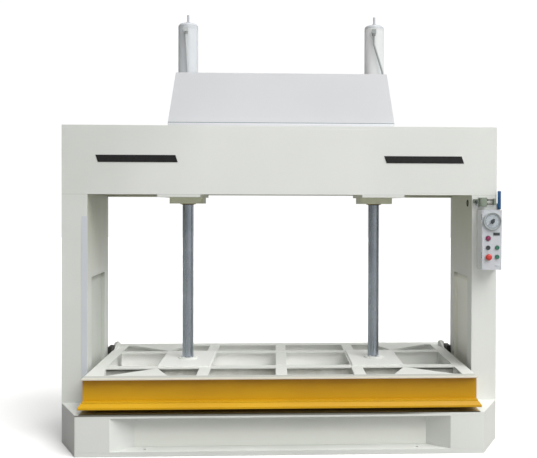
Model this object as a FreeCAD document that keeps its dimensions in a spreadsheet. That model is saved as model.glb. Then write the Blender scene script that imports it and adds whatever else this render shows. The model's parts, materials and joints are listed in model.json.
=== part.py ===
"""Two-cylinder hydraulic press for panels and doors.

Millimetres.  +Z is up, -Y is the front, and the origin lies on the floor under the middle of the bed.
The pieces are drawn in the rest pose: the platen hangs a little above the table.
"""
import FreeCAD, Part
import math
import os
import Sketcher
from FreeCAD import Placement, Rotation, Vector

SIZES = {
    # welded frame
    "frame_half": 1425,
    "frame_deep": 315,
    "open_half": 1260,
    "bed_half": 1265,
    "bed_deep": 625,
    "sole_plate": 30,
    "table_top": 257,
    "table_plate": 22,
    "bed_wall": 16,
    "bay_half": 920,
    "bay_deep": 515,
    "cheek_half": 1054,
    "column_inner_wall": 45,
    "column_wall": 16,
    "recess_half": 200,
    "recess_deep": 25,
    "recess_top": 1065,
    "crown_low": 1614,
    "crown_top": 2064,
    "crown_floor": 30,
    "crown_lid": 20,
    "crown_wall": 20,
    # anchor holes
    "anchor_x": 850,
    "anchor_y": 575,
    "anchor_radius": 12,
    # cylinders
    "rod_x": 645,
    "rod_radius": 37.5,
    "bore_radius": 55,
    "tube_radius": 67.5,
    "tube_low": 1596,
    "tube_top": 2760,
    "cap_high": 34,
    "saddle_half": 165,
    "saddle_plate": 18,
    "flange_half": 114,
    "flange_plate": 42,
    "running_gap": 0.3,
    # platen
    "platen_low": 288,
    "press_plate": 35,
    "plate_edge": 12,
    "platen_top": 475,
    "plate_half_x": 1250,
    "plate_half_y": 625,
    "beam_half_x": 1230,
    "beam_half_y": 608,
    "beam_flange": 8,
    "beam_web": 12,
    "outer_flange": 88,
    "end_flange": 80,
    "inner_near": 221,
    "inner_far": 299,
    "foot_half_x": 170,
    "foot_half_y": 262,
    "foot_plate": 8,
    "foot_ring": 10,
    # hood
    "hood_low_half": 748,
    "hood_top_half": 694,
    "hood_top": 2413,
    "hood_front": -285,
    "hood_back": -110,
    "hood_sheet": 3,
    "seal_high": 13,
    # control box
    "case_x": 1296,
    "case_wide": 127,
    "case_low": 1130,
    "case_top": 1517,
    "case_deep": 123,
    "case_sheet": 2,
    "door_sheet": 3,
    "gauge_x": 1361,
    "gauge_z": 1444.5,
    "gauge_radius": 59,
}

doc = FreeCAD.newDocument("press")
sheet = doc.addObject("Spreadsheet::Sheet", "Sizes")
nodes = []


class Dim:
    """A length that carries its number together with its expression on the sheet."""

    def __init__(self, number, text):
        self.number = number
        self.text = text

    def __add__(self, other):
        return Dim(self.number + number(other), "(%s + %s)" % (self.text, text(other)))

    def __radd__(self, other):
        return Dim(number(other) + self.number, "(%s + %s)" % (text(other), self.text))

    def __sub__(self, other):
        return Dim(self.number - number(other), "(%s - %s)" % (self.text, text(other)))

    def __rsub__(self, other):
        return Dim(number(other) - self.number, "(%s - %s)" % (text(other), self.text))

    def __mul__(self, factor):
        return Dim(self.number * factor, "(%s * %s)" % (self.text, factor))

    def __neg__(self):
        return self * -1


def number(value):
    return value.number if isinstance(value, Dim) else value


def text(value):
    return value.text if isinstance(value, Dim) else "%s" % value


def size(name):
    return Dim(SIZES[name], "Sizes." + name)


def fill_sheet():
    for row, (name, value) in enumerate(SIZES.items(), start=1):
        sheet.set("A%d" % row, name)
        sheet.set("B%d" % row, str(value))
        sheet.setAlias("B%d" % row, name)
    doc.recompute()


# ---------------------------------------------------------------- small helpers

TURNS = {
    "Z": Rotation(),
    "X": Rotation(Vector(0, 1, 0), 90),
    "-X": Rotation(Vector(0, 1, 0), -90),
    "Y": Rotation(Vector(1, 0, 0), -90),
    "-Y": Rotation(Vector(1, 0, 0), 90),
}


def bind(item, prop, value):
    setattr(item, prop, number(value))
    if isinstance(value, Dim):
        item.setExpression(prop, value.text)


def place(item, x, y, z, axis="Z"):
    item.Placement = Placement(Vector(number(x), number(y), number(z)), TURNS[axis])
    for letter, value in zip("xyz", (x, y, z)):
        if isinstance(value, Dim):
            item.setExpression("Placement.Base." + letter, value.text)


def block(name, x, y, z):
    """A box given by its low and high ends along each axis."""
    item = doc.addObject("Part::Box", name)
    for prop, (low, high) in zip(("Length", "Width", "Height"), (x, y, z)):
        bind(item, prop, high - low)
    place(item, x[0], y[0], z[0])
    return item


def rod(name, radius, start, length, axis="Z"):
    item = doc.addObject("Part::Cylinder", name)
    bind(item, "Radius", radius)
    bind(item, "Height", length)
    place(item, *start, axis=axis)
    return item


def hexagon(name, corner_radius, start, length, axis="Z"):
    item = doc.addObject("Part::Prism", name)
    item.Polygon = 6
    bind(item, "Circumradius", corner_radius)
    bind(item, "Height", length)
    place(item, *start, axis=axis)
    return item


def fuse(name, *items):
    item = doc.addObject("Part::MultiFuse", name)
    item.Shapes = list(items)
    item.Refine = True
    return item


def cut(name, base, *tools):
    item = doc.addObject("Part::Cut", name)
    item.Base = base
    item.Tool = tools[0] if len(tools) == 1 else fuse(name + "_tools", *tools)
    return item


def group(name, *items):
    item = doc.addObject("Part::Compound", name)
    item.Links = list(items)
    return item


def mirror(item, normal):
    copy = doc.addObject("Part::Mirroring", item.Name + "_mirrored")
    copy.Source = item
    copy.Normal = normal
    return copy


def left_and_right(*items):
    """The pieces given and their mirror images across the middle of the press."""
    return [half for item in items for half in (item, mirror(item, Vector(1, 0, 0)))]


def front_and_rear(*items):
    return [half for item in items for half in (item, mirror(item, Vector(0, 1, 0)))]


def node(name, item):
    item.Label = name
    nodes.append(item)


# ---------------------------------------------------------------- sketches and bodies


def new_body(name):
    return doc.addObject("PartDesign::Body", name)


def new_sketch(body, name, plane, offset=0):
    """A sketch on one of the body's own origin planes, moved along the plane's normal."""
    sketch = body.newObject("Sketcher::SketchObject", name)
    plane_object = [f for f in body.Origin.OriginFeatures if f.Role == plane][0]
    sketch.AttachmentSupport = [(plane_object, "")]
    sketch.MapMode = "FlatFace"
    sketch.AttachmentOffset = Placement(Vector(0, 0, number(offset)), Rotation())
    if isinstance(offset, Dim):
        sketch.setExpression("AttachmentOffset.Base.z", offset.text)
    return sketch


def tie(sketch, geometry, point, across, up):
    """Fixes one sketch point to its distances from the sketch axes."""
    for kind, value, axis in (("DistanceX", across, -2), ("DistanceY", up, -1)):
        if number(value) == 0:
            sketch.addConstraint(Sketcher.Constraint("PointOnObject", geometry, point, axis))
            continue
        rule = Sketcher.Constraint(kind, -1, 1, geometry, point, number(value))
        index = sketch.addConstraint(rule)
        if isinstance(value, Dim):
            sketch.setExpression("Constraints[%d]" % index, value.text)


def outline(sketch, points):
    """A closed outline of straight lines, every corner tied to the sheet."""
    first = sketch.GeometryCount
    corners = [Vector(number(a), number(b), 0) for a, b in points]
    count = len(corners)
    for i in range(count):
        sketch.addGeometry(Part.LineSegment(corners[i], corners[(i + 1) % count]), False)
    for i in range(count):
        rule = Sketcher.Constraint("Coincident", first + i, 2, first + (i + 1) % count, 1)
        sketch.addConstraint(rule)
    for i, (a, b) in enumerate(points):
        tie(sketch, first + i, 1, a, b)


def rectangle(sketch, x, y):
    outline(sketch, [(x[0], y[0]), (x[1], y[0]), (x[1], y[1]), (x[0], y[1])])


def circle(sketch, across, up, radius):
    centre = Vector(number(across), number(up), 0)
    index = sketch.addGeometry(Part.Circle(centre, Vector(0, 0, 1), number(radius)), False)
    tie(sketch, index, 3, across, up)
    rule = sketch.addConstraint(Sketcher.Constraint("Radius", index, number(radius)))
    if isinstance(radius, Dim):
        sketch.setExpression("Constraints[%d]" % rule, radius.text)


def pad(body, name, sketch, length, backwards=False):
    feature = body.newObject("PartDesign::Pad", name)
    feature.Profile = sketch
    bind(feature, "Length", length)
    feature.Reversed = backwards
    sketch.Visibility = False
    doc.recompute()
    return feature


def pocket(body, name, sketch, length, backwards=False):
    """Cuts against the sketch plane's normal, or along it when backwards is set."""
    before = body.Tip.Shape.Volume
    feature = body.newObject("PartDesign::Pocket", name)
    feature.Profile = sketch
    bind(feature, "Length", length)
    feature.Reversed = backwards
    sketch.Visibility = False
    doc.recompute()
    if feature.Shape.Volume >= before:
        raise RuntimeError("the pocket %s cut nothing away" % name)
    return feature


def turned(body, name, points):
    """A body of revolution about its own Z axis, from (radius, height) corners."""
    sketch = new_sketch(body, name + "_profile", "XZ_Plane")
    outline(sketch, points)
    feature = body.newObject("PartDesign::Revolution", name)
    feature.Profile = sketch
    feature.ReferenceAxis = (sketch, ["V_Axis"])
    feature.Angle = 360
    sketch.Visibility = False
    doc.recompute()
    return feature


def round_edges(body, name, radius, wanted):
    """Fillets the edges of the body's tip for which wanted(edge) holds."""
    base = body.Tip
    names = ["Edge%d" % (i + 1) for i, edge in enumerate(base.Shape.Edges) if wanted(edge)]
    feature = body.newObject("PartDesign::Fillet", name)
    feature.Base = (base, names)
    bind(feature, "Radius", radius)
    doc.recompute()
    return feature


def repeat_round(body, name, feature, count):
    """Repeats a feature evenly about the body's own Z axis."""
    axis = [f for f in body.Origin.OriginFeatures if f.Role == "Z_Axis"][0]
    pattern = body.newObject("PartDesign::PolarPattern", name)
    pattern.Originals = [feature]
    pattern.Axis = (axis, [""])
    pattern.Angle = 360
    pattern.Occurrences = count
    body.Tip = pattern
    doc.recompute()
    return pattern


def pipe(name, radius, bend, points):
    """A round pipe through the points, its straight runs joined by tangent arcs."""
    corners = [Vector(*point) for point in points]
    edges = []
    start = corners[0]
    for before, corner, after in zip(corners, corners[1:], corners[2:]):
        back = (before - corner).normalize()
        ahead = (after - corner).normalize()
        half_angle = back.getAngle(ahead) / 2
        reach = bend / math.tan(half_angle)
        entry = corner + back * reach
        leave = corner + ahead * reach
        centre_way = (back + ahead).normalize()
        centre = corner + centre_way * ((reach ** 2 + bend ** 2) ** 0.5)
        middle = centre - centre_way * bend
        edges.append(Part.makeLine(start, entry))
        edges.append(Part.Arc(entry, middle, leave).toShape())
        start = leave
    edges.append(Part.makeLine(start, corners[-1]))
    way = (corners[1] - corners[0]).normalize()
    ring = Part.Wire([Part.makeCircle(radius, corners[0], way)])
    item = doc.addObject("Part::Feature", name)
    item.Shape = Part.Wire(edges).makePipeShell([ring], True, True)
    item.Placement = Placement()
    return item


# ---------------------------------------------------------------- standing frame


def bed_outline():
    wide, deep = size("frame_half"), size("frame_deep")
    narrow, far = size("bed_half"), size("bed_deep")
    return [
        (-narrow, -far), (narrow, -far), (wide, -deep), (wide, deep),
        (narrow, far), (-narrow, far), (-wide, deep), (-wide, -deep),
    ]


def make_bed():
    sole, thick, top = size("sole_plate"), size("table_plate"), size("table_top")
    body = new_body("bed_bottom_plate")
    sketch = new_sketch(body, "sole_outline", "XY_Plane")
    outline(sketch, bed_outline())
    pad(body, "sole", sketch, sole)
    holes = new_sketch(body, "anchor_outline", "XY_Plane", sole)
    for across in (-1, 1):
        for along in (-1, 1):
            circle(holes, size("anchor_x") * across, size("anchor_y") * along, size("anchor_radius"))
    pocket(body, "anchor_holes", holes, sole)
    node("bed_bottom_plate", body)

    body = new_body("table_plate")
    sketch = new_sketch(body, "table_outline", "XY_Plane", top - thick)
    outline(sketch, bed_outline())
    pad(body, "table", sketch, thick)
    node("table_plate", body)

    ends = make_bed_end()
    node("bed_ends", group("bed_ends", *left_and_right(ends)))
    node("bed_webs", make_bed_webs())


def make_bed_end():
    """The hollow right end of the bed: a welded ring of plates with a bulkhead."""
    low, high = size("sole_plate"), size("table_top") - size("table_plate")
    half = [
        (size("bay_half"), -size("bay_deep")),
        (size("cheek_half"), -size("bed_deep")),
        (size("bed_half"), -size("bed_deep")),
        (size("frame_half"), -size("frame_deep")),
    ]
    far = [(across, -along) for across, along in reversed(half)]
    body = new_body("bed_end_right")
    sketch = new_sketch(body, "bed_end_outline", "XY_Plane", low)
    outline(sketch, half + far)
    base = pad(body, "bed_end_block", sketch, high - low)
    flat = ["Face%d" % (i + 1) for i, face in enumerate(base.Shape.Faces)
            if abs(face.normalAt(0, 0).z) > 0.9]
    shell = body.newObject("PartDesign::Thickness", "bed_end_walls")
    shell.Base = (base, flat)
    bind(shell, "Value", size("bed_wall"))
    shell.Join = 1
    shell.Reversed = True
    doc.recompute()
    return body


def make_bed_webs():
    low, high = size("sole_plate"), size("table_top") - size("table_plate")
    half, deep, wall = size("bay_half"), size("bay_deep"), size("bed_wall")
    web = block("bed_web", (-half, half), (-deep, wall - deep), (low, high))
    pieces = front_and_rear(web)
    for i in range(-2, 3):
        centre = size("bay_half") * (i / 2.5)
        rib = block("bed_rib", (centre - 8, centre + 8), (wall - deep, deep - wall), (low, high))
        pieces.append(rib)
    return group("bed_webs", *pieces)


def make_column(name, side):
    """A box column with a thick slideway plate towards the platen."""
    near, far, deep = size("open_half") * side, size("frame_half") * side, size("frame_deep")
    low, high = size("table_top"), size("crown_low")
    body = new_body(name)
    sketch = new_sketch(body, name + "_outline", "XY_Plane", low)
    rectangle(sketch, (near, far), (-deep, deep))
    pad(body, name + "_block", sketch, high - low)
    hollow = new_sketch(body, name + "_hollow", "XY_Plane", high)
    inner = near + size("column_inner_wall") * side
    outer = far - size("column_wall") * side
    reach = deep - size("column_wall")
    rectangle(hollow, (inner, outer), (-reach, reach))
    pocket(body, name + "_inside", hollow, high - low)
    recess = new_sketch(body, name + "_recess", "YZ_Plane", near)
    half = size("recess_half")
    rectangle(recess, (-half, half), (low, size("recess_top")))
    pocket(body, name + "_recess_cut", recess, size("recess_deep"), side > 0)
    if side > 0:
        hole = new_sketch(body, name + "_hole", "YZ_Plane", near)
        circle(hole, -200, 1562, 18)
        pocket(body, name + "_hole_cut", hole, size("column_inner_wall"), True)
    node(name, body)


def make_pale_strip():
    """The pale flat strip on the front of the left column, along its inner edge."""
    near, front = -size("open_half"), -size("frame_deep")
    strip = block("column_strip", (near - 38, near - 2), (front - 1.5, front), (size("table_top"), 1470))
    node("column_strip", strip)


def make_crown():
    wide, deep, wall = size("frame_half"), size("frame_deep"), size("crown_wall")
    low, top, lid = size("crown_low"), size("crown_top"), size("crown_lid")
    rod_x, clear = size("rod_x"), size("tube_radius") + size("running_gap")

    body = new_body("crown_walls")
    sketch = new_sketch(body, "crown_outline", "XY_Plane", low)
    rectangle(sketch, (-wide, wide), (-deep, deep))
    pad(body, "crown_block", sketch, top - lid - low)
    cells = new_sketch(body, "crown_cells", "XY_Plane", top - lid)
    near, far = rod_x - size("saddle_half"), rod_x + size("saddle_half")
    reach = deep - wall
    for side in (-1, 1):
        for start, end in ((8, near - 8), (near + 8, far - 8), (far + 8, wide - wall)):
            ends = (start * side, end * side)
            rectangle(cells, ends if side > 0 else ends[::-1], (-reach, reach))
    pocket(body, "crown_inside", cells, top - lid - low - size("crown_floor"))
    holes = new_sketch(body, "crown_holes", "XY_Plane", low + size("crown_floor"))
    for side in (-1, 1):
        circle(holes, rod_x * side, 0, clear)
    pocket(body, "crown_tube_holes", holes, size("crown_floor"))

    cover = new_body("crown_top_plate")
    sketch = new_sketch(cover, "crown_top_outline", "XY_Plane", top - lid)
    rectangle(sketch, (-wide, wide), (-deep, deep))
    for side in (-1, 1):
        circle(sketch, rod_x * side, 0, clear)
        circle(sketch, (rod_x - 99) * side, 0, 12)
    pad(cover, "crown_top", sketch, lid)
    node("crown_girder", group("crown_girder", body, cover))


def make_trim_bars():
    """Two plain slanted bars on the crown's front face."""
    body = new_body("crown_trim_bars")
    sketch = new_sketch(body, "trim_outline", "XZ_Plane", size("frame_deep"))
    for low_x, top_x in ((-1193, -1209), (690, 674)):
        outline(sketch, [(low_x, 1823), (low_x + 516, 1823), (top_x + 516, 1870), (top_x, 1870)])
    pad(body, "trim", sketch, 2)
    node("crown_trim_bars", body)


# ---------------------------------------------------------------- cylinders


def make_saddles():
    half, deep, rod_x = size("saddle_half"), size("frame_deep"), size("rod_x")
    body = new_body("saddle_right")
    sketch = new_sketch(body, "saddle_outline", "XY_Plane", size("tube_low"))
    rectangle(sketch, (rod_x - size("flange_half"), rod_x + half), (-deep, deep))
    circle(sketch, rod_x, 0, size("tube_radius") + size("running_gap"))
    pad(body, "saddle", sketch, size("saddle_plate"))
    node("saddle_plates", group("saddle_plates", *left_and_right(body)))


def make_flanges():
    """Square mounting flanges under the crown, each with four bolts in counterbored holes."""
    half, thick, top = size("flange_half"), size("flange_plate"), size("tube_low")
    body = new_body("flange_right")
    place(body, size("rod_x"), 0, top - thick)
    sketch = new_sketch(body, "flange_outline", "XY_Plane")
    rectangle(sketch, (-half, half), (-half, half))
    circle(sketch, 0, 0, 48)
    pad(body, "flange", sketch, thick)
    corners = round_edges(
        body, "flange_corners", 18,
        lambda edge: edge.Length > 40 and abs(edge.tangentAt(edge.FirstParameter).z) > 0.9
        and abs(edge.Vertexes[0].X) > 95 and abs(edge.Vertexes[0].Y) > 95,
    )
    body.Tip = corners
    hole = new_sketch(body, "flange_hole", "XY_Plane", thick)
    circle(hole, 88, 88, 11.5)
    first = pocket(body, "flange_bolt_hole", hole, thick)
    repeat_round(body, "flange_bolt_holes", first, 4)
    seat = new_sketch(body, "flange_seat", "XY_Plane")
    circle(seat, 88, 88, 19)
    first = pocket(body, "flange_bolt_seat", seat, 20, True)
    repeat_round(body, "flange_bolt_seats", first, 4)
    node("cylinder_flanges", group("cylinder_flanges", *left_and_right(body)))

    bolts = []
    for across in (-88, 88):
        for along in (-88, 88):
            x = size("rod_x") + across
            head = rod("flange_bolt_head", 17, (x, along, top - thick + 2), 18)
            socket = hexagon("flange_bolt_socket", 9.5, (x, along, top - thick + 2), 10)
            shank = rod("flange_bolt_shank", 11, (x, along, top - thick + 20), thick - 20)
            bolts.append(cut("flange_bolt", fuse("flange_bolt_solid", head, shank), socket))
    node("flange_bolts", group("flange_bolts", *left_and_right(*bolts)))


def make_glands():
    thick = size("flange_plate")
    inner = size("rod_radius") + size("running_gap")
    body = new_body("gland_right")
    place(body, size("rod_x"), 0, size("tube_low") - thick)
    turned(body, "gland", [
        (inner, -5), (50, -5), (54, -2), (54, 0), (47.7, 0), (47.7, thick + 24), (inner, thick + 24),
    ])
    node("gland_bushes", group("gland_bushes", *left_and_right(body)))


def make_cylinders():
    rod_x, low, top = size("rod_x"), size("tube_low"), size("tube_top")
    for name, side in (("cylinder_left", -1), ("cylinder_right", 1)):
        outside = rod(name + "_outside", size("tube_radius"), (rod_x * side, 0, low), top - low)
        inside = rod(name + "_inside", size("bore_radius"), (rod_x * side, 0, low), top - low)
        node(name, cut(name, outside, inside))

    body = new_body("cap_right")
    place(body, rod_x, 0, top)
    sketch = new_sketch(body, "cap_outline", "XY_Plane")
    circle(sketch, 0, 0, size("tube_radius"))
    pad(body, "cap", sketch, size("cap_high"))
    round_edges(
        body, "cap_dome", 24,
        lambda edge: edge.BoundBox.ZLength < 0.1 and edge.Vertexes[0].Z > 30,
    )
    high = top + size("cap_high")
    pipe_end = rod("bleed_pipe", 7.5, (rod_x, 0, high), 60)
    nut = hexagon("bleed_nut", 15, (rod_x, 0, high), 12)
    bleed = fuse("bleed", pipe_end, nut)
    node("cylinder_caps", group("cylinder_caps", *left_and_right(body, bleed)))


def make_ports():
    """Saddle-shaped bosses with square elbows where the pipes join the cylinders."""
    tube = size("tube_radius")
    fittings = []
    for side, x in ((-1, -652), (1, 632)):
        boss = rod("top_port_boss", 13, (x, -76, 2737), 16, "Y")
        wall = rod("top_port_wall", tube, (size("rod_x") * side, 0, 2700), 80)
        elbow = block("top_port_elbow", (x - 14, x + 14), (-102, -76), (2722, 2752))
        fittings.append(fuse("top_port", cut("top_port_neck", boss, wall), elbow))
        neck = rod("low_port_boss", 12, (560 * side, 0, 1675), 24, "X" if side > 0 else "-X")
        low_wall = rod("low_port_wall", tube, (size("rod_x") * side, 0, 1640), 80)
        ends = (532, 560) if side > 0 else (-560, -532)
        low_elbow = block("low_port_elbow", ends, (-14, 14), (1660, 1690))
        fittings.append(fuse("low_port", cut("low_port_neck", neck, low_wall), low_elbow))
    node("port_fittings", group("port_fittings", *fittings))


def make_cylinder_pipes():
    right = pipe("top_pipe_right", 7, 30, [
        (632, -88, 2722), (632, -88, 2650), (692, -88, 2458), (692, -88, 2110), (20, -88, 2110),
        (20, -88, 2376), (20, 85, 2376), (-80, 85, 2376),
    ])
    left = pipe("top_pipe_left", 7, 30, [
        (-652, -88, 2722), (-652, -88, 2670), (-640, -88, 2458), (-640, -88, 2376),
        (-300, -88, 2376), (-300, 110, 2376), (-240, 110, 2376),
    ])
    node("top_pipes", group("top_pipes", left, right))
    right = pipe("low_pipe_right", 6, 25, [
        (546, 0, 1690), (546, 0, 2352), (-120, 0, 2352), (-120, 60, 2352),
    ])
    left = pipe("low_pipe_left", 6, 25, [
        (-546, 0, 1690), (-546, 0, 2352), (-200, 0, 2352), (-200, 60, 2352),
    ])
    node("rod_side_pipes", group("rod_side_pipes", left, right))


# ---------------------------------------------------------------- hood and power unit


def hood_outline(inset):
    """The hood's slanted front outline, drawn in by inset at the sides and the top."""
    low, top = size("crown_top") + size("seal_high"), size("hood_top")
    wide, narrow = size("hood_low_half") - inset, size("hood_top_half") - inset
    return [(-wide, low), (wide, low), (narrow, top - inset), (-narrow, top - inset)]


def make_hood():
    front, back, sheet_thick = size("hood_front"), size("hood_back"), size("hood_sheet")
    body = new_body("hood")
    sketch = new_sketch(body, "hood_face", "XZ_Plane", -front)
    outline(sketch, hood_outline(0))
    pad(body, "hood_block", sketch, back - front, True)
    inside = new_sketch(body, "hood_hollow", "XZ_Plane", -(front + sheet_thick))
    outline(inside, hood_outline(sheet_thick))
    pocket(body, "hood_inside", inside, back - front - sheet_thick)
    node("hood", body)
    low, wide = size("crown_top"), size("hood_low_half") - 2
    front_strip = block("seal_front", (-wide, wide), (front + 2, front + 14), (low, low + size("seal_high")))
    side_strip = block("seal_side", (wide - 12, wide), (front + 14, back), (low, low + size("seal_high")))
    node("hood_seal", fuse("hood_seal", front_strip, *left_and_right(side_strip)))


def make_tank():
    outside = block("tank_outside", (-520, -40), (-60, 300), (size("crown_top"), 2330))
    inside = block("tank_inside", (-516, -44), (-56, 296), (size("crown_top") + 4, 2330))
    node("oil_tank", cut("oil_tank", outside, inside))
    lid = block("tank_lid_plate", (-530, -30), (-70, 310), (2330, 2338))
    neck = rod("filler_neck", 24, (-440, 220, 2338), 30)
    breather = rod("filler_cap", 34, (-440, 220, 2368), 34)
    node("tank_lid", fuse("tank_lid", lid, neck, breather))


def make_motor():
    z, y, high = 2174, 120, size("crown_top")
    frame = rod("motor_frame", 88, (250, y, z), 230, "X")
    foot = block("motor_foot", (280, 450), (50, 190), (high, z - 60))
    terminals = block("motor_terminals", (320, 410), (80, 160), (z + 70, z + 116))
    cowl = rod("motor_cowl", 92, (468, y, z), 80, "X")
    cowl_inside = rod("motor_cowl_inside", 88, (480, y, z), 65, "X")
    shaft_hole = rod("motor_bore", 12.4, (240, y, z), 245, "X")
    vents = []
    for step in range(10):
        angle = math.radians(36 * step)
        centre = (540, y + 60 * math.cos(angle), z + 60 * math.sin(angle))
        vents.append(rod("motor_vent", 13, centre, 12, "X"))
    solid = fuse("motor_solid", frame, foot, terminals, cowl)
    node("pump_motor", cut("pump_motor", solid, cowl_inside, shaft_hole, *vents))

    shaft = rod("drive_shaft", 12, (172, y, z), 356, "X")
    coupling = rod("drive_coupling", 30, (186, y, z), 44, "X")
    hub = rod("fan_hub", 24, (492, y, z), 34, "X")
    blades = []
    for step in range(6):
        blade = block("fan_blade", (496, 524), (y - 3, y + 3), (z, z + 78))
        turn = Placement(Vector(), Rotation(Vector(1, 0, 0), 60 * step), Vector(0, y, z))
        blade.Placement = turn.multiply(blade.Placement)
        blades.append(blade)
    node("motor_shaft", fuse("motor_shaft", shaft, coupling, hub, *blades))

    housing = rod("bell_outside", 66, (170, y, z), 68, "X")
    flange = rod("bell_flange", 88, (238, y, z), 12, "X")
    inside = rod("bell_inside", 52, (178, y, z), 72, "X")
    opening = rod("bell_opening", 20, (170, y, z), 8, "X")
    node("bell_housing", cut("bell_housing", fuse("bell_solid", housing, flange), inside, opening))

    case = block("pump_case", (90, 158), (y - 42, y + 42), (z - 42, z + 42))
    front = block("pump_front", (158, 170), (y - 56, y + 56), (z - 50, z + 50))
    node("gear_pump", fuse("gear_pump", case, front))


def make_pump_pipes():
    suction = rod("suction_pipe", 17, (-40, 120, 2160), 130, "X")
    pressure = pipe("pressure_pipe", 8, 28, [(130, 145, 2216), (130, 145, 2376), (-80, 145, 2376)])
    node("pump_pipes", group("pump_pipes", suction, pressure))


def make_valves():
    manifold = block("manifold_block", (-240, -80), (60, 160), (2338, 2404))
    pieces = [manifold]
    for x in (-196, -124):
        valve = block("solenoid_block", (x - 24, x + 24), (70, 150), (2404, 2440))
        coil = rod("solenoid_coil", 17, (x, 150, 2422), 70, "Y")
        pieces.extend((valve, coil))
    node("valve_manifold", fuse("valve_manifold", *pieces))


# ---------------------------------------------------------------- platen


def beam_along_x(name, x, y):
    """A welded I-beam running left to right between the given ends."""
    low, high = size("platen_low") + size("press_plate"), size("platen_top")
    flange, web = size("beam_flange"), size("beam_web")
    middle = (y[0] + y[1]) * 0.5
    top = block(name + "_top", x, y, (high - flange, high))
    bottom = block(name + "_bottom", x, y, (low, low + flange))
    plate = block(name + "_web", x, (middle - web * 0.5, middle + web * 0.5), (low, high))
    return fuse(name, top, bottom, plate)


def beam_along_y(name, x, y):
    low, high = size("platen_low") + size("press_plate"), size("platen_top")
    flange, web = size("beam_flange"), size("beam_web")
    middle = (x[0] + x[1]) * 0.5
    top = block(name + "_top", x, y, (high - flange, high))
    bottom = block(name + "_bottom", x, y, (low, low + flange))
    plate = block(name + "_web", (middle - web * 0.5, middle + web * 0.5), y, (low, high))
    return fuse(name, top, bottom, plate)


def make_platen():
    wide, deep = size("plate_half_x"), size("plate_half_y")
    low, plate = size("platen_low"), size("press_plate")
    body = new_body("pressing_plate")
    edge = size("plate_edge")
    sketch = new_sketch(body, "plate_outline", "XY_Plane", low)
    rectangle(sketch, (-wide, wide), (-deep, deep))
    pad(body, "plate_lip", sketch, edge)
    sketch = new_sketch(body, "plate_slope_outline", "XY_Plane", low + edge)
    rectangle(sketch, (-wide, wide), (-deep, deep))
    slope = pad(body, "plate_slope", sketch, plate - edge)
    slope.TaperAngle = -36
    node("pressing_plate", body)

    half, front = size("beam_half_x"), size("beam_half_y")
    outer = front - size("outer_flange")
    near, far = size("inner_near"), size("inner_far")
    end = half - size("end_flange")
    node("platen_front_beam", beam_along_x("platen_front_beam", (-half, half), (-front, -outer)))
    rear = beam_along_x("platen_rear_beam", (-half, half), (outer, front))
    inner = beam_along_x("platen_inner_beam", (-end, end), (-far, -near))
    node("platen_long_beams", group("platen_long_beams", rear, *front_and_rear(inner)))
    end_beam = beam_along_y("platen_end_beam", (end, half), (-outer, outer))
    node("platen_end_beams", group("platen_end_beams", *left_and_right(end_beam)))

    pieces = []
    for x in (-500, 0, 500):
        for name, bay in (("front", (-outer, -far)), ("middle", (-near, near)), ("rear", (far, outer))):
            pieces.append(beam_along_y("cross_" + name, (x - 37, x + 37), bay))
    for x in (-790, 790):
        for name, bay in (("front", (-outer, -far)), ("middle", (-near, near)), ("rear", (far, outer))):
            ends = (x - 6, x + 6)
            pieces.append(block("rib_" + name, ends, bay, (low + plate, size("platen_top") - 20)))
    node("platen_cross_beams", group("platen_cross_beams", *pieces))

    body = new_body("gusset_front_right")
    sketch = new_sketch(body, "gusset_outline", "XY_Plane", size("platen_top") - 12)
    outline(sketch, [(717, -outer), (1104, -outer), (811, -far)])
    pad(body, "gusset", sketch, 12)
    right = front_and_rear(body)
    corner = new_body("gusset_corner")
    sketch = new_sketch(corner, "corner_outline", "XY_Plane", size("platen_top") - 12)
    outline(sketch, [(-end, -outer), (44 - end, -outer), (-end, -far)])
    pad(corner, "corner", sketch, 12)
    node("gusset_plates", group("gusset_plates", corner, *left_and_right(*right)))


def make_feet():
    """Foot plates welded to the platen, each holding a piston rod in a bolted ring."""
    rod_x, top, thick = size("rod_x"), size("platen_top"), size("foot_plate")
    half_x, half_y, high = size("foot_half_x"), size("foot_half_y"), size("foot_ring")
    body = new_body("foot_right")
    place(body, rod_x, 0, top)
    sketch = new_sketch(body, "foot_outline", "XY_Plane")
    rectangle(sketch, (-half_x, half_x), (-half_y, half_y))
    pad(body, "foot", sketch, thick)
    ring = new_sketch(body, "foot_ring_outline", "XY_Plane", thick)
    circle(ring, 0, 0, 66)
    circle(ring, 0, 0, size("rod_radius") + size("running_gap"))
    pad(body, "foot_ring", ring, high)
    hole = new_sketch(body, "foot_ring_hole", "XY_Plane", thick + high)
    circle(hole, 52, 0, 5.5)
    first = pocket(body, "foot_ring_bolt_hole", hole, thick + high)
    repeat_round(body, "foot_ring_bolt_holes", first, 6)
    node("foot_plates", group("foot_plates", *left_and_right(body)))

    bolts = []
    level = top + thick + high
    for step in range(6):
        angle = math.radians(60 * step)
        x, y = rod_x + 52 * math.cos(angle), 52 * math.sin(angle)
        head = hexagon("ring_bolt_head", 9, (x, y, level), 6)
        shank = rod("ring_bolt_shank", 5, (x, y, top), thick + high)
        bolts.append(fuse("ring_bolt", head, shank))
    node("foot_bolts", group("foot_bolts", *left_and_right(*bolts)))


def make_rods():
    """Piston rods with a piston and its nut at the upper end, inside the cylinder."""
    rod_x, base = size("rod_x"), size("platen_top") + size("foot_plate")
    shoulder, under_nut = 1655, 1715
    body = new_body("piston_rod_right")
    place(body, rod_x, 0, 0)
    piston = size("bore_radius") - size("running_gap")
    turned(body, "piston_rod", [
        (0, base), (size("rod_radius"), base), (size("rod_radius"), shoulder), (piston, shoulder),
        (piston, under_nut), (38, under_nut), (38, under_nut + 24), (0, under_nut + 24),
    ])
    node("piston_rods", group("piston_rods", *left_and_right(body)))


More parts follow.
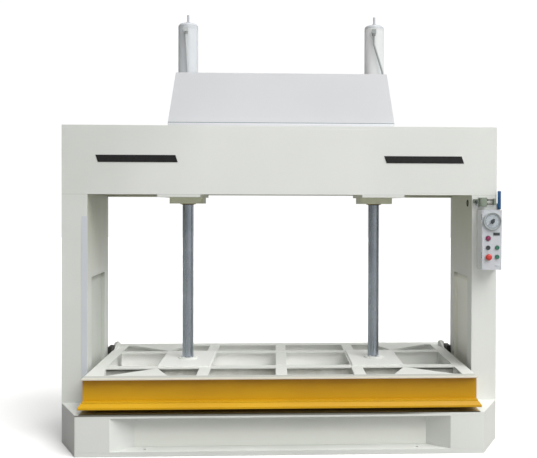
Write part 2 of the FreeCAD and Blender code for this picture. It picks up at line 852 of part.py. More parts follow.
def make_guides():
    low, gap = size("platen_low") + size("press_plate"), 0.5
    half, face = size("beam_half_x"), size("open_half") - gap
    rear = block("guide_shoe_rear", (half, face), (296, 400), (low + 7, 505))
    front = block("guide_shoe_front", (half, face), (-290, -200), (low + 7, 400))
    node("guide_shoes", group("guide_shoes", *left_and_right(rear, front)))

    body = new_body("bracket_right")
    sketch = new_sketch(body, "bracket_outline", "XZ_Plane", -484)
    top = size("platen_top")
    rectangle(sketch, (half - 28, half + 16), (top, top + 42))
    pad(body, "bracket", sketch, 30)
    rounded = round_edges(
        body, "bracket_round", 21.5,
        lambda edge: edge.BoundBox.YLength > 29 and edge.Vertexes[0].Z > 500,
    )
    body.Tip = rounded
    fin = new_body("bracket_fin")
    sketch = new_sketch(fin, "fin_outline", "YZ_Plane", half - 16)
    outline(sketch, [(330, top), (455, top), (455, top + 34)])
    pad(fin, "fin", sketch, 10)
    right = fuse("corner_bracket_right", body, fin)
    node("corner_brackets", group("corner_brackets", *left_and_right(right)))


# ---------------------------------------------------------------- controls

# across, up and hole radius of the lamp, the black, the upper green, the stop and the lower green
BUTTONS = ((1335, 1334, 16), (1335, 1273.5, 13), (1394.5, 1274, 13), (1337, 1212.5, 13), (1394.5, 1214, 13))
DOOR_FACE = -441


def make_box():
    x0, wide = size("case_x"), size("case_wide")
    low, top, back = size("case_low"), size("case_top"), -size("frame_deep")
    front, wall = back - size("case_deep"), size("case_sheet")
    outside = block("case_outside", (x0, x0 + wide), (front, back), (low, top))
    inside = block("case_inside", (x0 + wall, x0 + wide - wall), (front, back - wall), (low + wall, top - wall))
    node("control_box", cut("control_box", outside, inside))

    door = block("door_sheet", (x0, x0 + wide), (front - size("door_sheet"), front), (low, top))
    holes = [rod("door_gauge_hole", 49.5, (size("gauge_x"), front - 10, size("gauge_z")), 20, "Y")]
    for x, z, radius in BUTTONS:
        holes.append(rod("door_button_hole", radius, (x, front - 10, z), 20, "Y"))
    node("control_box_door", cut("control_box_door", door, *holes))

    plate = block("gear_plate", (x0 + 12, x0 + wide - 12), (back - 12, back - wall), (low + 20, top - 20))
    rail = block("gear_rail", (x0 + 16, x0 + wide - 16), (back - 18, back - 12), (1170, 1205))
    pieces = [plate, rail]
    for i in range(2):
        left = x0 + 17 + 48 * i
        pieces.append(block("contactor", (left, left + 44), (back - 78, back - 18), (1150, 1225)))
    node("control_gear", fuse("control_gear", *pieces))


def on_door(body, x, z, out=0):
    """Stands the body's own Z axis straight out of the box door."""
    place(body, x, DOOR_FACE - out, z, axis="-Y")


def make_gauge():
    x, z = size("gauge_x"), size("gauge_z")
    case = new_body("gauge_case")
    turned(case, "gauge_case_turn", [
        (0, -38), (49, -38), (49, 0), (size("gauge_radius"), 0), (size("gauge_radius"), 13),
        (57, 15), (53, 15), (53, 3.5), (0, 3.5),
    ])
    on_door(case, x, z)
    node("gauge_case", case)

    dial = rod("gauge_dial", 52.6, (x, DOOR_FACE - 3.5, z), 1, "-Y")
    node("gauge_dial", dial)
    glass = rod("gauge_glass_disc", 52.7, (x, DOOR_FACE - 12, z), 2, "-Y")
    hole = rod("gauge_glass_hole", 3.4, (x, DOOR_FACE - 11, z), 4, "-Y")
    node("gauge_glass", cut("gauge_glass", glass, hole))

    hub = rod("needle_hub", 6, (x, DOOR_FACE - 5, z), 2.5, "-Y")
    arm = new_body("needle_arm")
    sketch = new_sketch(arm, "needle_outline", "XZ_Plane", 6 - DOOR_FACE)
    outline(sketch, [(x - 2.2, z - 12), (x + 2.2, z - 12), (x + 0.6, z + 40), (x - 0.6, z + 40)])
    pad(arm, "needle", sketch, 1)
    turned_arm = Rotation(Vector(0, 1, 0), -135)
    pivot = Vector(number(x), 0, number(z))
    arm.Placement = Placement(Vector(), turned_arm, pivot)
    node("gauge_needle", fuse("gauge_needle", hub, arm))

    knob = new_body("gauge_knob")
    turned(knob, "gauge_knob_turn", [
        (0, 8), (3, 8), (3, 14.5), (13, 14.5), (13, 20), (11, 22), (0, 22),
    ])
    sketch = new_sketch(knob, "knob_bar_outline", "XY_Plane", 22)
    outline(sketch, [(-18, -9), (-6, -19), (18, 9), (6, 19)])
    pad(knob, "knob_bar", sketch, 4)
    on_door(knob, x, z)
    node("gauge_knob", knob)


def make_buttons():
    rings = []
    for x, z, hole in BUTTONS:
        ring = new_body("button_ring")
        turned(ring, "button_ring_turn", [
            (hole, 0), (hole + 2.5, 0), (hole + 2.5, 3), (hole + 1.5, 4), (hole, 4),
        ])
        on_door(ring, x, z)
        rings.append(ring)
    node("button_rings", group("button_rings", *rings))

    caps = ("power_lamp", "black_button", "green_button_upper", "stop_button", "green_button_lower")
    flat_cap = [(0, -8), (12.6, -8), (12.6, 8), (11, 9.5), (0, 9.5)]
    lamp_cap = [(0, -8), (15.6, -8), (15.6, 6), (12, 10.5), (6, 12.5), (0, 12.5)]
    mushroom = [(0, -8), (12.6, -8), (12.6, 10), (21, 11), (21, 15), (17, 20), (9, 23), (0, 23)]
    profiles = (lamp_cap, flat_cap, flat_cap, mushroom, flat_cap)
    for name, profile, (x, z, hole) in zip(caps, profiles, BUTTONS):
        cap = new_body(name)
        turned(cap, name + "_turn", profile)
        on_door(cap, x, z)
        node(name, cap)

    bar = block("blank_bar", (1369, 1411), (DOOR_FACE - 1.5, DOOR_FACE), (1353, 1371))
    plate = block("blank_plate", (1380, 1412), (DOOR_FACE - 1.2, DOOR_FACE), (1151, 1165))
    trim = [bar, plate]
    for x in (size("case_x") + 9, size("case_x") + size("case_wide") - 9):
        for z in (size("case_low") + 9, size("case_top") - 9):
            trim.append(rod("door_screw", 4, (x, DOOR_FACE, z), 2, "-Y"))
    node("door_trim", group("door_trim", *trim))


def make_limit_switch():
    front = -size("frame_deep")
    middle = front.number - 21
    case = block("switch_case", (1303, 1350), (front - 42, front), (1539, 1598))
    head = block("switch_head", (1268, 1303), (front - 30, front), (1562, 1588))
    nose = rod("switch_nose", 8, (1279, front - 30, 1573), 3, "-Y")
    node("limit_switch", fuse("limit_switch", case, head, nose))

    tubes = [rod("switch_tube", 5, (1350, middle, z), 47, "X") for z in (1584, 1556)]
    ending = block("switch_tube_end", (1397, 1412), (front - 35, front), (1548, 1592))
    node("switch_tubes", fuse("switch_tubes", *tubes, ending))

    hub = rod("lever_hub", 9, (1279, front - 33.5, 1573), 10, "-Y")
    arm = block("lever_arm", (1275, 1287), (front - 43.5, front - 39.5), (1553, 1573))
    roller = rod("lever_roller", 10, (1283, front - 34, 1553), 14, "-Y")
    node("limit_lever", fuse("limit_lever", hub, arm, roller))


def make_gauge_line():
    """The pressure line from the manifold round to the gauge, with its isolating valve."""
    upper = pipe("gauge_pipe_upper", 5, 22, [
        (-100, 160, 2356), (-100, 245, 2356), (0, 245, 2356), (0, 245, 2084), (1437, 245, 2084),
        (1437, 245, 1533), (1437, -280, 1533),
    ])
    lower = pipe("gauge_pipe_lower", 5, 9, [
        (1431.5, -298, 1506), (1431.5, -298, 1440), (1431.5, -314.7, 1440),
    ])
    valve = block("gauge_valve_case", (1426, 1448), (-314, -280), (1506, 1560))
    node("gauge_line", group("gauge_line", upper, lower, valve))

    body = new_body("valve_lever")
    sketch = new_sketch(body, "lever_outline", "XZ_Plane", 330)
    rectangle(sketch, (1426, 1448), (1521, 1642))
    pad(body, "lever_bar", sketch, 10)
    rounded = round_edges(body, "lever_round", 10.9, lambda edge: edge.BoundBox.YLength > 9)
    body.Tip = rounded
    stem = new_sketch(body, "lever_stem_outline", "XZ_Plane", 330)
    circle(stem, 1437, 1533, 7)
    pad(body, "lever_stem", stem, 15.6, True)
    node("valve_lever", body)


# ---------------------------------------------------------------- build and export


def check_and_export():
    doc.recompute()
    for item in doc.Objects:
        if "Invalid" in item.State or "Error" in item.State:
            raise RuntimeError("%s did not build: %s" % (item.Name, item.State))
    os.makedirs("parts", exist_ok=True)
    for item in nodes:
        shape = item.Shape
        if shape.isNull() or not shape.isValid():
            raise RuntimeError("%s has no sound shape" % item.Label)
        shape.exportStep("parts/%s.step" % item.Label)
    print("%d sub-parts written" % len(nodes))


fill_sheet()
make_bed()
make_column("column_left", -1)
make_column("column_right", 1)
make_pale_strip()
make_crown()
make_trim_bars()
make_saddles()
make_flanges()
make_glands()
make_cylinders()
make_ports()
make_cylinder_pipes()
make_hood()
make_tank()
make_motor()
make_pump_pipes()
make_valves()
make_platen()
make_feet()
make_rods()
make_guides()
make_box()
make_gauge()
make_buttons()
make_limit_switch()
make_gauge_line()
check_and_export()
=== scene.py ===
import json
import math

import bpy
from mathutils import Matrix, Vector


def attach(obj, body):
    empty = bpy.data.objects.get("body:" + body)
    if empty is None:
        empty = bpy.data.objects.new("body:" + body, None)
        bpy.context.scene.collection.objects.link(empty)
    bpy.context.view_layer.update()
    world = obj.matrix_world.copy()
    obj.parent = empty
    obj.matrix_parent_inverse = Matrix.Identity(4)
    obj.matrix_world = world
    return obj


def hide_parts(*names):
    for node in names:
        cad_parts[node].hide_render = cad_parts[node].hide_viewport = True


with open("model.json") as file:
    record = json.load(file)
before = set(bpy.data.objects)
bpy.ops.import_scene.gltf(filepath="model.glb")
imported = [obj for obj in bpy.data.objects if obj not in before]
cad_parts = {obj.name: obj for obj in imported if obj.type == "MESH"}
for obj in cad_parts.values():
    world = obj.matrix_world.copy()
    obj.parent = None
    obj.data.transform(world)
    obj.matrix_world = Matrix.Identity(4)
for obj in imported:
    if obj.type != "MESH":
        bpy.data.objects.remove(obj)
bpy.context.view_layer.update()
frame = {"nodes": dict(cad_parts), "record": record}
nodes = frame["nodes"]
scene = bpy.context.scene


# heights, faces and axes of the press that finishes and pieces share, in metres
TABLE = 0.257
COLUMN_FACE = 1.260
COLUMN_FRONT = -0.315
CROWN_FOOT = 1.6142
CROWN_TOP = 2.064
BEAM_WEB = -0.565
FLANGE_UNDER = 0.4673
ROD = 0.645
DOOR = -0.441
GAUGE_X, GAUGE_Z = 1.361, 1.4445
MOTOR_Y, MOTOR_Z = 0.120, 2.174
VALVE_FRONT = 0.0602


# ------------------------------------------------------------ camera, light, floor

def place_camera():
    """Eye-level view from straight in front, a little left of the middle."""
    data = bpy.data.cameras.new("view")
    data.sensor_width = 36.0
    data.lens = 52.518436
    data.shift_x = -0.0759777
    data.shift_y = -0.0338920
    data.clip_end = 100.0
    camera = bpy.data.objects.new("view", data)
    scene.collection.objects.link(camera)
    yaw, pitch, roll = (math.radians(angle) for angle in (-2.429, -0.567, -0.145))
    turn = Matrix.Rotation(yaw, 3, "Z") @ Matrix.Rotation(pitch, 3, "X") @ Matrix.Rotation(roll, 3, "Y")
    upright = Matrix.Rotation(math.radians(90), 3, "X")
    camera.matrix_world = (turn @ upright).to_4x4()
    camera.location = (-0.0366, -5.4554, 1.5595)
    scene.camera = camera


def add_area(name, place, aim, width, power, color):
    """A flat lamp at one place, turned towards another."""
    data = bpy.data.lights.new(name, "AREA")
    data.shape = "RECTANGLE"
    data.size, data.size_y = width
    data.energy = power
    data.color = color
    lamp = bpy.data.objects.new(name, data)
    scene.collection.objects.link(lamp)
    lamp.location = place
    lamp.rotation_euler = (Vector(aim) - Vector(place)).to_track_quat("-Z", "Y").to_euler()


def add_sun(name, source, strength, spread):
    """Even light from one side of the sky, softened over a wide angle."""
    data = bpy.data.lights.new(name, "SUN")
    data.energy = strength
    data.angle = math.radians(spread)
    data.color = (1.0, 0.995, 0.98)
    lamp = bpy.data.objects.new(name, data)
    scene.collection.objects.link(lamp)
    lamp.rotation_euler = Vector(source).to_track_quat("Z", "Y").to_euler()


def light_the_room():
    """A white room that is brighter on the right, with soft lamps above and in front."""
    world = bpy.data.worlds.new("room")
    world.use_nodes = True
    tree = world.node_tree
    background = tree.nodes["Background"]
    ray = tree.nodes.new("ShaderNodeLightPath")
    side = tree.nodes.new("ShaderNodeSeparateXYZ")
    way = tree.nodes.new("ShaderNodeTexCoord")
    tree.links.new(way.outputs["Generated"], side.inputs[0])
    glow = tree.nodes.new("ShaderNodeMapRange")
    for socket, value in zip(("From Min", "From Max", "To Min", "To Max"), (-0.9, 0.9, 0.10, 0.70)):
        glow.inputs[socket].default_value = value
    tree.links.new(side.outputs["X"], glow.inputs["Value"])
    pick = tree.nodes.new("ShaderNodeMix")
    pick.inputs["B"].default_value = 1.02
    tree.links.new(ray.outputs["Is Camera Ray"], pick.inputs["Factor"])
    tree.links.new(glow.outputs["Result"], pick.inputs["A"])
    tree.links.new(pick.outputs["Result"], background.inputs["Strength"])
    background.inputs["Color"].default_value = (1, 1, 1, 1)
    scene.world = world
    add_sun("roof_light", (0.10, -0.05, 1.0), 1.7, 60)
    add_sun("window_light", (0.62, -0.62, 0.95), 1.65, 40)
    add_area("lamp_front", (2.6, -6.0, 4.6), (0, 0, 1.0), (3.2, 3.0), 60, (1.0, 0.995, 0.985))
    scene.view_settings.view_transform = "Standard"


def lay_floor():
    """A matt floor that is white to the camera and darker to everything that it lights."""
    bpy.ops.mesh.primitive_plane_add(size=60, location=(0, 0, 0))
    floor = bpy.context.object
    floor.name = "studio_floor"
    material = bpy.data.materials.new("studio_floor")
    material.use_nodes = True
    tree = material.node_tree
    shader = tree.nodes["Principled BSDF"]
    shader.inputs["Roughness"].default_value = 0.95
    shader.inputs["Specular IOR Level"].default_value = 0.0
    ray = tree.nodes.new("ShaderNodeLightPath")
    tone = tree.nodes.new("ShaderNodeMix")
    tone.data_type = "RGBA"
    tone.inputs["A"].default_value = (0.42, 0.42, 0.41, 1)
    tone.inputs["B"].default_value = (0.97, 0.97, 0.97, 1)
    tree.links.new(ray.outputs["Is Camera Ray"], tone.inputs["Factor"])
    tree.links.new(tone.outputs["Result"], shader.inputs["Base Color"])
    floor.data.materials.append(material)


# ------------------------------------------------------------ finishes

def tint(red, green, blue):
    """A colour as the eye sees it, 0 to 255, made linear."""
    line = [c / 255 / 12.92 if c / 255 <= 0.04045 else ((c / 255 + 0.055) / 1.055) ** 2.4
            for c in (red, green, blue)]
    return (*line, 1.0)


class Finish:
    """A material under construction, with its shader and its pattern coordinates."""

    def __init__(self, name):
        self.material = bpy.data.materials.new(name)
        self.material.use_nodes = True
        self.tree = self.material.node_tree
        self.shader = self.tree.nodes["Principled BSDF"]
        self.coords = self.add("ShaderNodeTexCoord").outputs["Object"]

    def add(self, kind, **settings):
        """A new step in the material, with its settings."""
        item = self.tree.nodes.new(kind)
        for name, value in settings.items():
            setattr(item, name, value)
        return item

    def feed(self, socket, value):
        """Gives a socket a plain value or the result of another step."""
        if isinstance(value, bpy.types.NodeSocket):
            self.tree.links.new(value, socket)
        else:
            socket.default_value = value

    def stretched(self, scale, turn=(0, 0, 0)):
        """Pattern coordinates drawn out or turned."""
        mapping = self.add("ShaderNodeMapping")
        self.feed(mapping.inputs["Vector"], self.coords)
        mapping.inputs["Scale"].default_value = scale
        mapping.inputs["Rotation"].default_value = turn
        return mapping.outputs["Vector"]

    def noise(self, scale, detail=3.0, rough=0.5, along=None):
        """A cloudy pattern, on the piece itself or on coordinates given."""
        item = self.add("ShaderNodeTexNoise")
        self.feed(item.inputs["Vector"], along or self.coords)
        item.inputs["Scale"].default_value = scale
        item.inputs["Detail"].default_value = detail
        item.inputs["Roughness"].default_value = rough
        return item.outputs["Fac"]

    def place(self, letter):
        """Where a point lies along one axis, in metres."""
        split = self.add("ShaderNodeSeparateXYZ")
        self.feed(split.inputs[0], self.coords)
        return split.outputs[letter]

    def away(self, letter):
        """Distance from the middle of the press along one axis."""
        return self.sums("ABSOLUTE", self.place(letter), 0.0)

    def along(self, letter, low, high, to_low=0.0, to_high=1.0):
        """A fade between two places on one axis."""
        return self.ranged(self.place(letter), low, high, to_low, to_high)

    def ranged(self, value, low, high, to_low=0.0, to_high=1.0):
        """Spreads what lies between two values over another range."""
        item = self.add("ShaderNodeMapRange")
        self.feed(item.inputs["Value"], value)
        for name, number in zip(("From Min", "From Max", "To Min", "To Max"), (low, high, to_low, to_high)):
            item.inputs[name].default_value = number
        return item.outputs["Result"]

    def sums(self, operation, first, second):
        """One calculation on two values."""
        item = self.add("ShaderNodeMath", operation=operation)
        self.feed(item.inputs[0], first)
        self.feed(item.inputs[1], second)
        return item.outputs[0]

    def times(self, first, *others):
        """The product of all the values given."""
        for other in others:
            first = self.sums("MULTIPLY", first, other)
        return first

    def blended(self, amount, first, second, how="MIX"):
        """One colour passing into another."""
        item = self.add("ShaderNodeMix", data_type="RGBA", blend_type=how)
        self.feed(item.inputs["Factor"], amount)
        self.feed(item.inputs["A"], first)
        self.feed(item.inputs["B"], second)
        return item.outputs["Result"]

    def edges(self, radius):
        """Rounded normals, and how far they lean away from the flat faces."""
        self.soft = self.add("ShaderNodeBevel", samples=4)
        self.soft.inputs["Radius"].default_value = radius
        flat = self.add("ShaderNodeNewGeometry")
        dot = self.add("ShaderNodeVectorMath", operation="DOT_PRODUCT")
        self.feed(dot.inputs[0], self.soft.outputs["Normal"])
        self.feed(dot.inputs[1], flat.outputs["Normal"])
        return self.soft.outputs["Normal"], self.ranged(dot.outputs["Value"], 0.98, 0.80)

    def relief(self, height, strength, distance, normal=None):
        """Fine unevenness of the surface."""
        item = self.add("ShaderNodeBump")
        self.feed(item.inputs["Height"], height)
        item.inputs["Strength"].default_value = strength
        item.inputs["Distance"].default_value = distance
        if normal is not None:
            self.feed(item.inputs["Normal"], normal)
        self.feed(self.shader.inputs["Normal"], item.outputs["Normal"])

    def color(self, value):
        """Sets the colour of the surface."""
        self.feed(self.shader.inputs["Base Color"], value)

    def lay(self, amount, tone):
        """Lays a tone over the colour given so far."""
        coat = self.shader.inputs["Base Color"].links[0].from_socket
        self.color(self.blended(amount, coat, tone))

    def gloss(self, value):
        """Sets how rough the surface is."""
        self.feed(self.shader.inputs["Roughness"], value)

    def set(self, **values):
        """Sets other values of the surface, with _ for each space in a name."""
        for name, value in values.items():
            self.shader.inputs[name.replace("_", " ")].default_value = value


def enamel(name, base, shade, rough=0.42, edge=0.003, peel=0.06, worn=0.35, wear_tint=None):
    """Sprayed machine enamel: uneven shade, orange peel and rubbed edges."""
    paint = Finish(name)
    clouds = paint.noise(1.3, 2.0)
    body = paint.blended(paint.ranged(clouds, 0.35, 0.68), base, shade)
    fine = paint.noise(38.0, 4.0, 0.65)
    body = paint.blended(paint.ranged(fine, 0.45, 0.75, 0.0, 0.10), body, shade)
    normal, lean = paint.edges(edge)
    rub = paint.times(lean, paint.ranged(paint.noise(24.0, 5.0, 0.7), 0.48, 0.62, 0.0, worn))
    paint.color(paint.blended(rub, body, wear_tint or tint(150, 148, 138)))
    smear = paint.noise(7.0, 5.0, 0.6, paint.stretched((1.0, 1.0, 0.25)))
    paint.gloss(paint.ranged(smear, 0.3, 0.7, rough - 0.07, rough + 0.10))
    paint.relief(paint.noise(420.0, 2.0), peel, 0.0006, normal)
    return paint


def metal(name, base, shade, rough, brush=(1.0, 1.0, 1.0), scale=60.0, edge=0.001, whole=1.0, depth=0.10):
    """Bare metal with drawn or turned marks along one direction."""
    steel = Finish(name)
    marks = steel.noise(scale, 4.0, 0.6, steel.stretched(brush))
    clouds = steel.noise(6.0, 3.0)
    body = steel.blended(steel.ranged(clouds, 0.35, 0.7), base, shade)
    body = steel.blended(steel.ranged(marks, 0.4, 0.7, 0.0, 0.35), body, shade)
    normal, lean = steel.edges(edge)
    steel.color(steel.blended(steel.times(lean, 0.3), body, tint(196, 196, 192)))
    steel.gloss(steel.ranged(marks, 0.3, 0.7, rough - 0.06, rough + 0.12))
    steel.set(Metallic=whole)
    steel.relief(marks, depth, 0.0003, normal)
    return steel


def plastic(name, base, shade, rough=0.35, grain=260.0, depth=0.05, edge=0.0008):
    """Moulded plastic or rubber with a fine grain and a slightly dulled face."""
    part = Finish(name)
    clouds = part.noise(30.0, 3.0)
    normal, lean = part.edges(edge)
    body = part.blended(part.ranged(clouds, 0.35, 0.7), base, shade)
    part.color(part.blended(part.times(lean, 0.18), body, tint(190, 190, 188)))
    part.gloss(part.ranged(part.noise(55.0, 4.0, 0.6), 0.3, 0.7, rough - 0.06, rough + 0.12))
    part.relief(part.noise(grain, 2.0), depth, 0.0003, normal)
    return part


def yellow_beam():
    """Golden enamel with painted shade, browner towards the top under a pale top flange."""
    paint = enamel("beam_yellow", tint(214, 167, 20), tint(204, 156, 18), worn=0.12,
                   wear_tint=tint(120, 92, 40))
    paint.set(Specular_IOR_Level=0.3)
    streak = paint.noise(5.0, 4.0, 0.6, paint.stretched((1.0, 1.0, 3.0)))
    # painted shade: the web browns, streaked, towards the top where the top flange shades it
    shade_under_flange = paint.times(paint.along("Z", 0.34, 0.468), paint.ranged(streak, 0.2, 0.8, 0.45, 0.95))
    paint.lay(shade_under_flange, tint(168, 116, 22))
    paint.lay(paint.along("Y", BEAM_WEB - 0.0005, BEAM_WEB + 0.0005), tint(222, 223, 218))
    flange = paint.blended(paint.along("Y", -0.605, -0.565), tint(221, 214, 198), tint(190, 192, 185))
    paint.lay(paint.along("Z", 0.4665, FLANGE_UNDER), flange)
    return paint.material


def frame_enamel():
    """Light grey enamel, paler to the right, with olive painted shade inside the opening and painted light
    and shade under the crown, on the cylinders, the table, the bed and the column recesses.
    """
    paint = enamel("frame_paint", tint(221, 223, 220), tint(211, 214, 209))
    across, deep = paint.away("X"), paint.away("Y")
    # painted light: the paint gets paler from the middle towards the right-hand side
    paint.lay(paint.along("X", 0.2, 1.3, 0.0, 0.8), tint(232, 234, 230))
    shade_the_opening(paint, across)
    middle = paint.times(paint.ranged(across, 1.1, 0.5, 0.0, 0.6), paint.along("Z", 1.60, 1.62))
    paint.lay(middle, tint(238, 240, 238))
    cool_and_light_the_cylinders(paint)
    shadow_the_table(paint, across, deep)
    light_and_shade_the_bed(paint, across, deep)
    # painted shade: dark olive on the underside of the crown
    crown_underside_shade = paint.times(paint.along("Z", 1.6135, 1.6137), paint.along("Z", 1.6146, 1.6143))
    paint.lay(crown_underside_shade, tint(120, 120, 96))
    light_and_shade_the_recesses(paint, across, deep)
    seam = paint.sums("ABSOLUTE", paint.sums("SUBTRACT", paint.place("Z"), CROWN_FOOT), 0.0)
    paint.feed(paint.soft.inputs["Radius"], paint.ranged(seam, 0.004, 0.006, 0.0, 0.003))
    return paint.material


def shade_the_opening(paint, across):
    """Painted shade in olive on the inner faces of the columns, stronger higher up and darker on the left
    column than on the right.
    """
    inside = paint.times(paint.ranged(across, COLUMN_FACE + 0.0006, COLUMN_FACE + 0.0002),
                         paint.along("Z", CROWN_FOOT, CROWN_FOOT - 0.0006),
                         paint.along("Y", COLUMN_FRONT + 0.0002, COLUMN_FRONT + 0.0007),
                         paint.along("Z", 0.95, 1.5, 0.0, 0.55))
    # painted shade: olive, darker on the left column than on the right
    opening_shade = paint.blended(paint.along("X", -1.25, -1.20), tint(150, 153, 116), tint(198, 200, 160))
    opening_shade = paint.blended(paint.along("X", 1.20, 1.25), opening_shade, tint(178, 182, 142))
    paint.lay(inside, opening_shade)


def cool_and_light_the_cylinders(paint):
    """Bluer grey on the cylinders above the crown, with painted light on the left side of the right-hand
    cylinder, and a dull film on their domes.
    """
    # painted light: the right-hand cylinder is white on its left side, fading to bluer grey on its right
    # side
    right = paint.blended(paint.along("X", 0.585, 0.705), tint(255, 255, 255), tint(212, 215, 218))
    tone_and_light = paint.blended(paint.along("X", -0.1, 0.1), tint(206, 211, 218), right)
    paint.lay(paint.along("Z", CROWN_TOP + 0.002, CROWN_TOP + 0.026, 0.0, 0.7), tone_and_light)
    paint.lay(paint.along("Z", 2.762, 2.776, 0.0, 0.85), tint(186, 190, 195))


def shadow_the_table(paint, across, deep):
    """Painted shade on the table under the platen, brown and dark beyond the pressing plate, and a painted
    shadow along its front rim, fading out at the right.
    """
    face = paint.times(paint.along("Z", TABLE - 0.0004, TABLE - 0.0001),
                       paint.along("Z", TABLE + 0.0005, TABLE + 0.0002))
    # painted shade: brown under the pressing plate, dark in the strip beyond it up to the front edge
    gap_shadow = paint.blended(paint.ranged(deep, 0.590, 0.605), tint(206, 172, 96), tint(76, 72, 58))
    paint.lay(paint.times(face, paint.ranged(across, 1.248, 1.240)), gap_shadow)
    # painted shadow of the platen along the top of the table's front edge, fading out towards the right
    rim = paint.times(paint.along("Z", TABLE - 0.0105, TABLE - 0.0085),
                      paint.along("Z", TABLE + 0.0005, TABLE + 0.0002),
                      paint.ranged(deep, 0.6236, 0.6246),
                      paint.along("X", 1.05, 0.75, 0.0, 0.9))
    paint.lay(rim, tint(98, 96, 86))


def light_and_shade_the_bed(paint, across, deep):
    """Painted light low in the long bays of the bed, and painted shade on its end cheeks, deeper on the
    left.
    """
    bed = paint.along("Z", TABLE - 0.0004, TABLE - 0.0010)
    bay = paint.times(bed, paint.ranged(deep, 0.5160, 0.5156), paint.ranged(deep, 0.490, 0.499))
    # painted light: paler paint low on the webs in the bays
    paint.lay(paint.times(bay, paint.along("Z", 0.19, 0.11)), tint(236, 238, 232))
    # painted shade on the end cheeks, deeper on the left
    cheek = paint.times(bed, paint.ranged(across, 1.2652, 1.2662))
    paint.lay(cheek, paint.blended(paint.along("X", -0.1, 0.1), tint(203, 204, 202), tint(212, 213, 208)))


def light_and_shade_the_recesses(paint, across, deep):
    """Painted light and shade in the sunk panels of the columns, paler in the right-hand panel, with
    painted shade in their top and front corners.
    """
    slot = paint.times(paint.ranged(across, 1.2612, 1.2625), paint.ranged(across, 1.2952, 1.2948),
                       paint.ranged(deep, 0.2008, 0.2004), paint.along("Z", 1.0660, 1.0654))
    # painted light and shade: the left-hand panel darker, the right-hand one near white
    side = paint.blended(paint.along("X", -0.1, 0.1), tint(206, 210, 203), tint(255, 255, 246))
    # painted shade in the top and front corners of the panels
    painted_shade = paint.sums("MAXIMUM", paint.along("Y", -0.186, -0.198, 0.0, 0.35),
                      paint.along("Z", 1.020, 1.060, 0.0, 0.6))
    paint.lay(slot, paint.blended(painted_shade, side, tint(136, 138, 116)))


def platen_enamel():
    """Pale grey enamel with painted light in the bays and painted shade on the webs just under the top
    flanges.
    """
    paint = enamel("platen_paint", tint(238, 239, 236), tint(229, 231, 227), 0.45)
    # painted light: paler paint low in the middle and rear bays
    bay_light = paint.times(paint.along("Z", 0.4660, 0.4650), paint.along("Y", -0.45, -0.35))
    paint.lay(paint.times(bay_light, 0.7), tint(252, 253, 250))
    tops = paint.times(paint.along("Z", 0.4665, 0.4672), paint.along("Z", 0.4754, 0.4752))
    paint.lay(tops, tint(222, 224, 219))
    under = paint.along("Z", 0.4674, 0.4668)
    # painted shade: a cloudy darkening on the webs just under the top flanges
    painted_shade = paint.times(paint.along("Z", 0.37, 0.44), under, paint.along("Y", -0.22, -0.30),
                       paint.ranged(paint.noise(9.0, 4.0, 0.6), 0.30, 0.62, 0.40, 0.95))
    paint.lay(painted_shade, tint(138, 134, 116))
    # painted shade: a darker line right under the front flanges, stronger towards the ends
    line = paint.times(paint.along("Z", 0.448, 0.456), under, paint.along("Y", -0.20, -0.21),
                       paint.ranged(paint.away("X"), 0.2, 1.1, 0.25, 0.85))
    paint.lay(line, tint(92, 92, 88))
    return paint.material


def pressing_plate_paint():
    """Yellow edges and lip, pale grey between the beams, and painted shade in dark brown underneath."""
    paint = enamel("plate_yellow", tint(212, 163, 14), tint(200, 151, 12), 0.40, worn=0.2,
                   wear_tint=tint(140, 110, 60))
    paint.set(Specular_IOR_Level=0.25)
    inside = paint.times(paint.ranged(paint.away("X"), 1.2275, 1.2265),
                         paint.ranged(paint.away("Y"), 0.6055, 0.6045))
    paint.lay(inside, tint(236, 237, 234))
    # painted shade: dark brown on the underside of the plate
    paint.lay(paint.along("Z", 0.2890, 0.2884), tint(104, 88, 48))
    return paint.material


def rod_steel():
    """Hard chrome on the rods, greyed by an oil film, with faint sliding marks."""
    steel = metal("rod_chrome", tint(174, 182, 192), tint(154, 162, 172), 0.25, (1.0, 1.0, 0.05), 90.0,
                  0.0006)
    return steel.material


def box_enamel():
    """Cool grey enamel on the control box, with painted light making the side towards the opening a little
    paler.
    """
    paint = enamel("box_paint", tint(212, 214, 219), tint(203, 206, 212), 0.38, 0.0015, 0.10)
    # painted light on the side face towards the opening
    paint.lay(paint.along("X", 1.2968, 1.2964), tint(226, 229, 230))
    return paint.material


def hood_strip():
    """Light grey sealing strip, with painted shade along its top edge under the hood."""
    strip = plastic("seal_grey", tint(196, 198, 198), tint(182, 185, 185), 0.7, 120.0, 0.2)
    # painted shade: a dark line along the top edge, under the hood
    strip.lay(strip.along("Z", 2.0735, 2.0745), tint(70, 70, 66))
    return strip.material


def dial_paper():
    """Pale dial sheet with an inner printed ring."""
    sheet = Finish("dial_white")
    x = sheet.sums("SUBTRACT", sheet.place("X"), GAUGE_X)
    z = sheet.sums("SUBTRACT", sheet.place("Z"), GAUGE_Z)
    radius = sheet.sums("SQRT", sheet.sums("ADD", sheet.times(x, x), sheet.times(z, z)), 0.0)
    body = sheet.blended(sheet.ranged(sheet.noise(40.0), 0.35, 0.7), tint(190, 200, 208),
                         tint(178, 188, 198))
    outer = sheet.ranged(radius, 0.0415, 0.0422)
    body = sheet.blended(outer, body, tint(164, 174, 182))
    body = sheet.blended(sheet.times(outer, sheet.ranged(radius, 0.0440, 0.0434)), body,
                         tint(96, 104, 112))
    sheet.color(body)
    sheet.gloss(sheet.ranged(sheet.noise(300.0), 0.3, 0.7, 0.45, 0.6))
    sheet.relief(sheet.noise(500.0), 0.05, 0.0002)
    return sheet.material


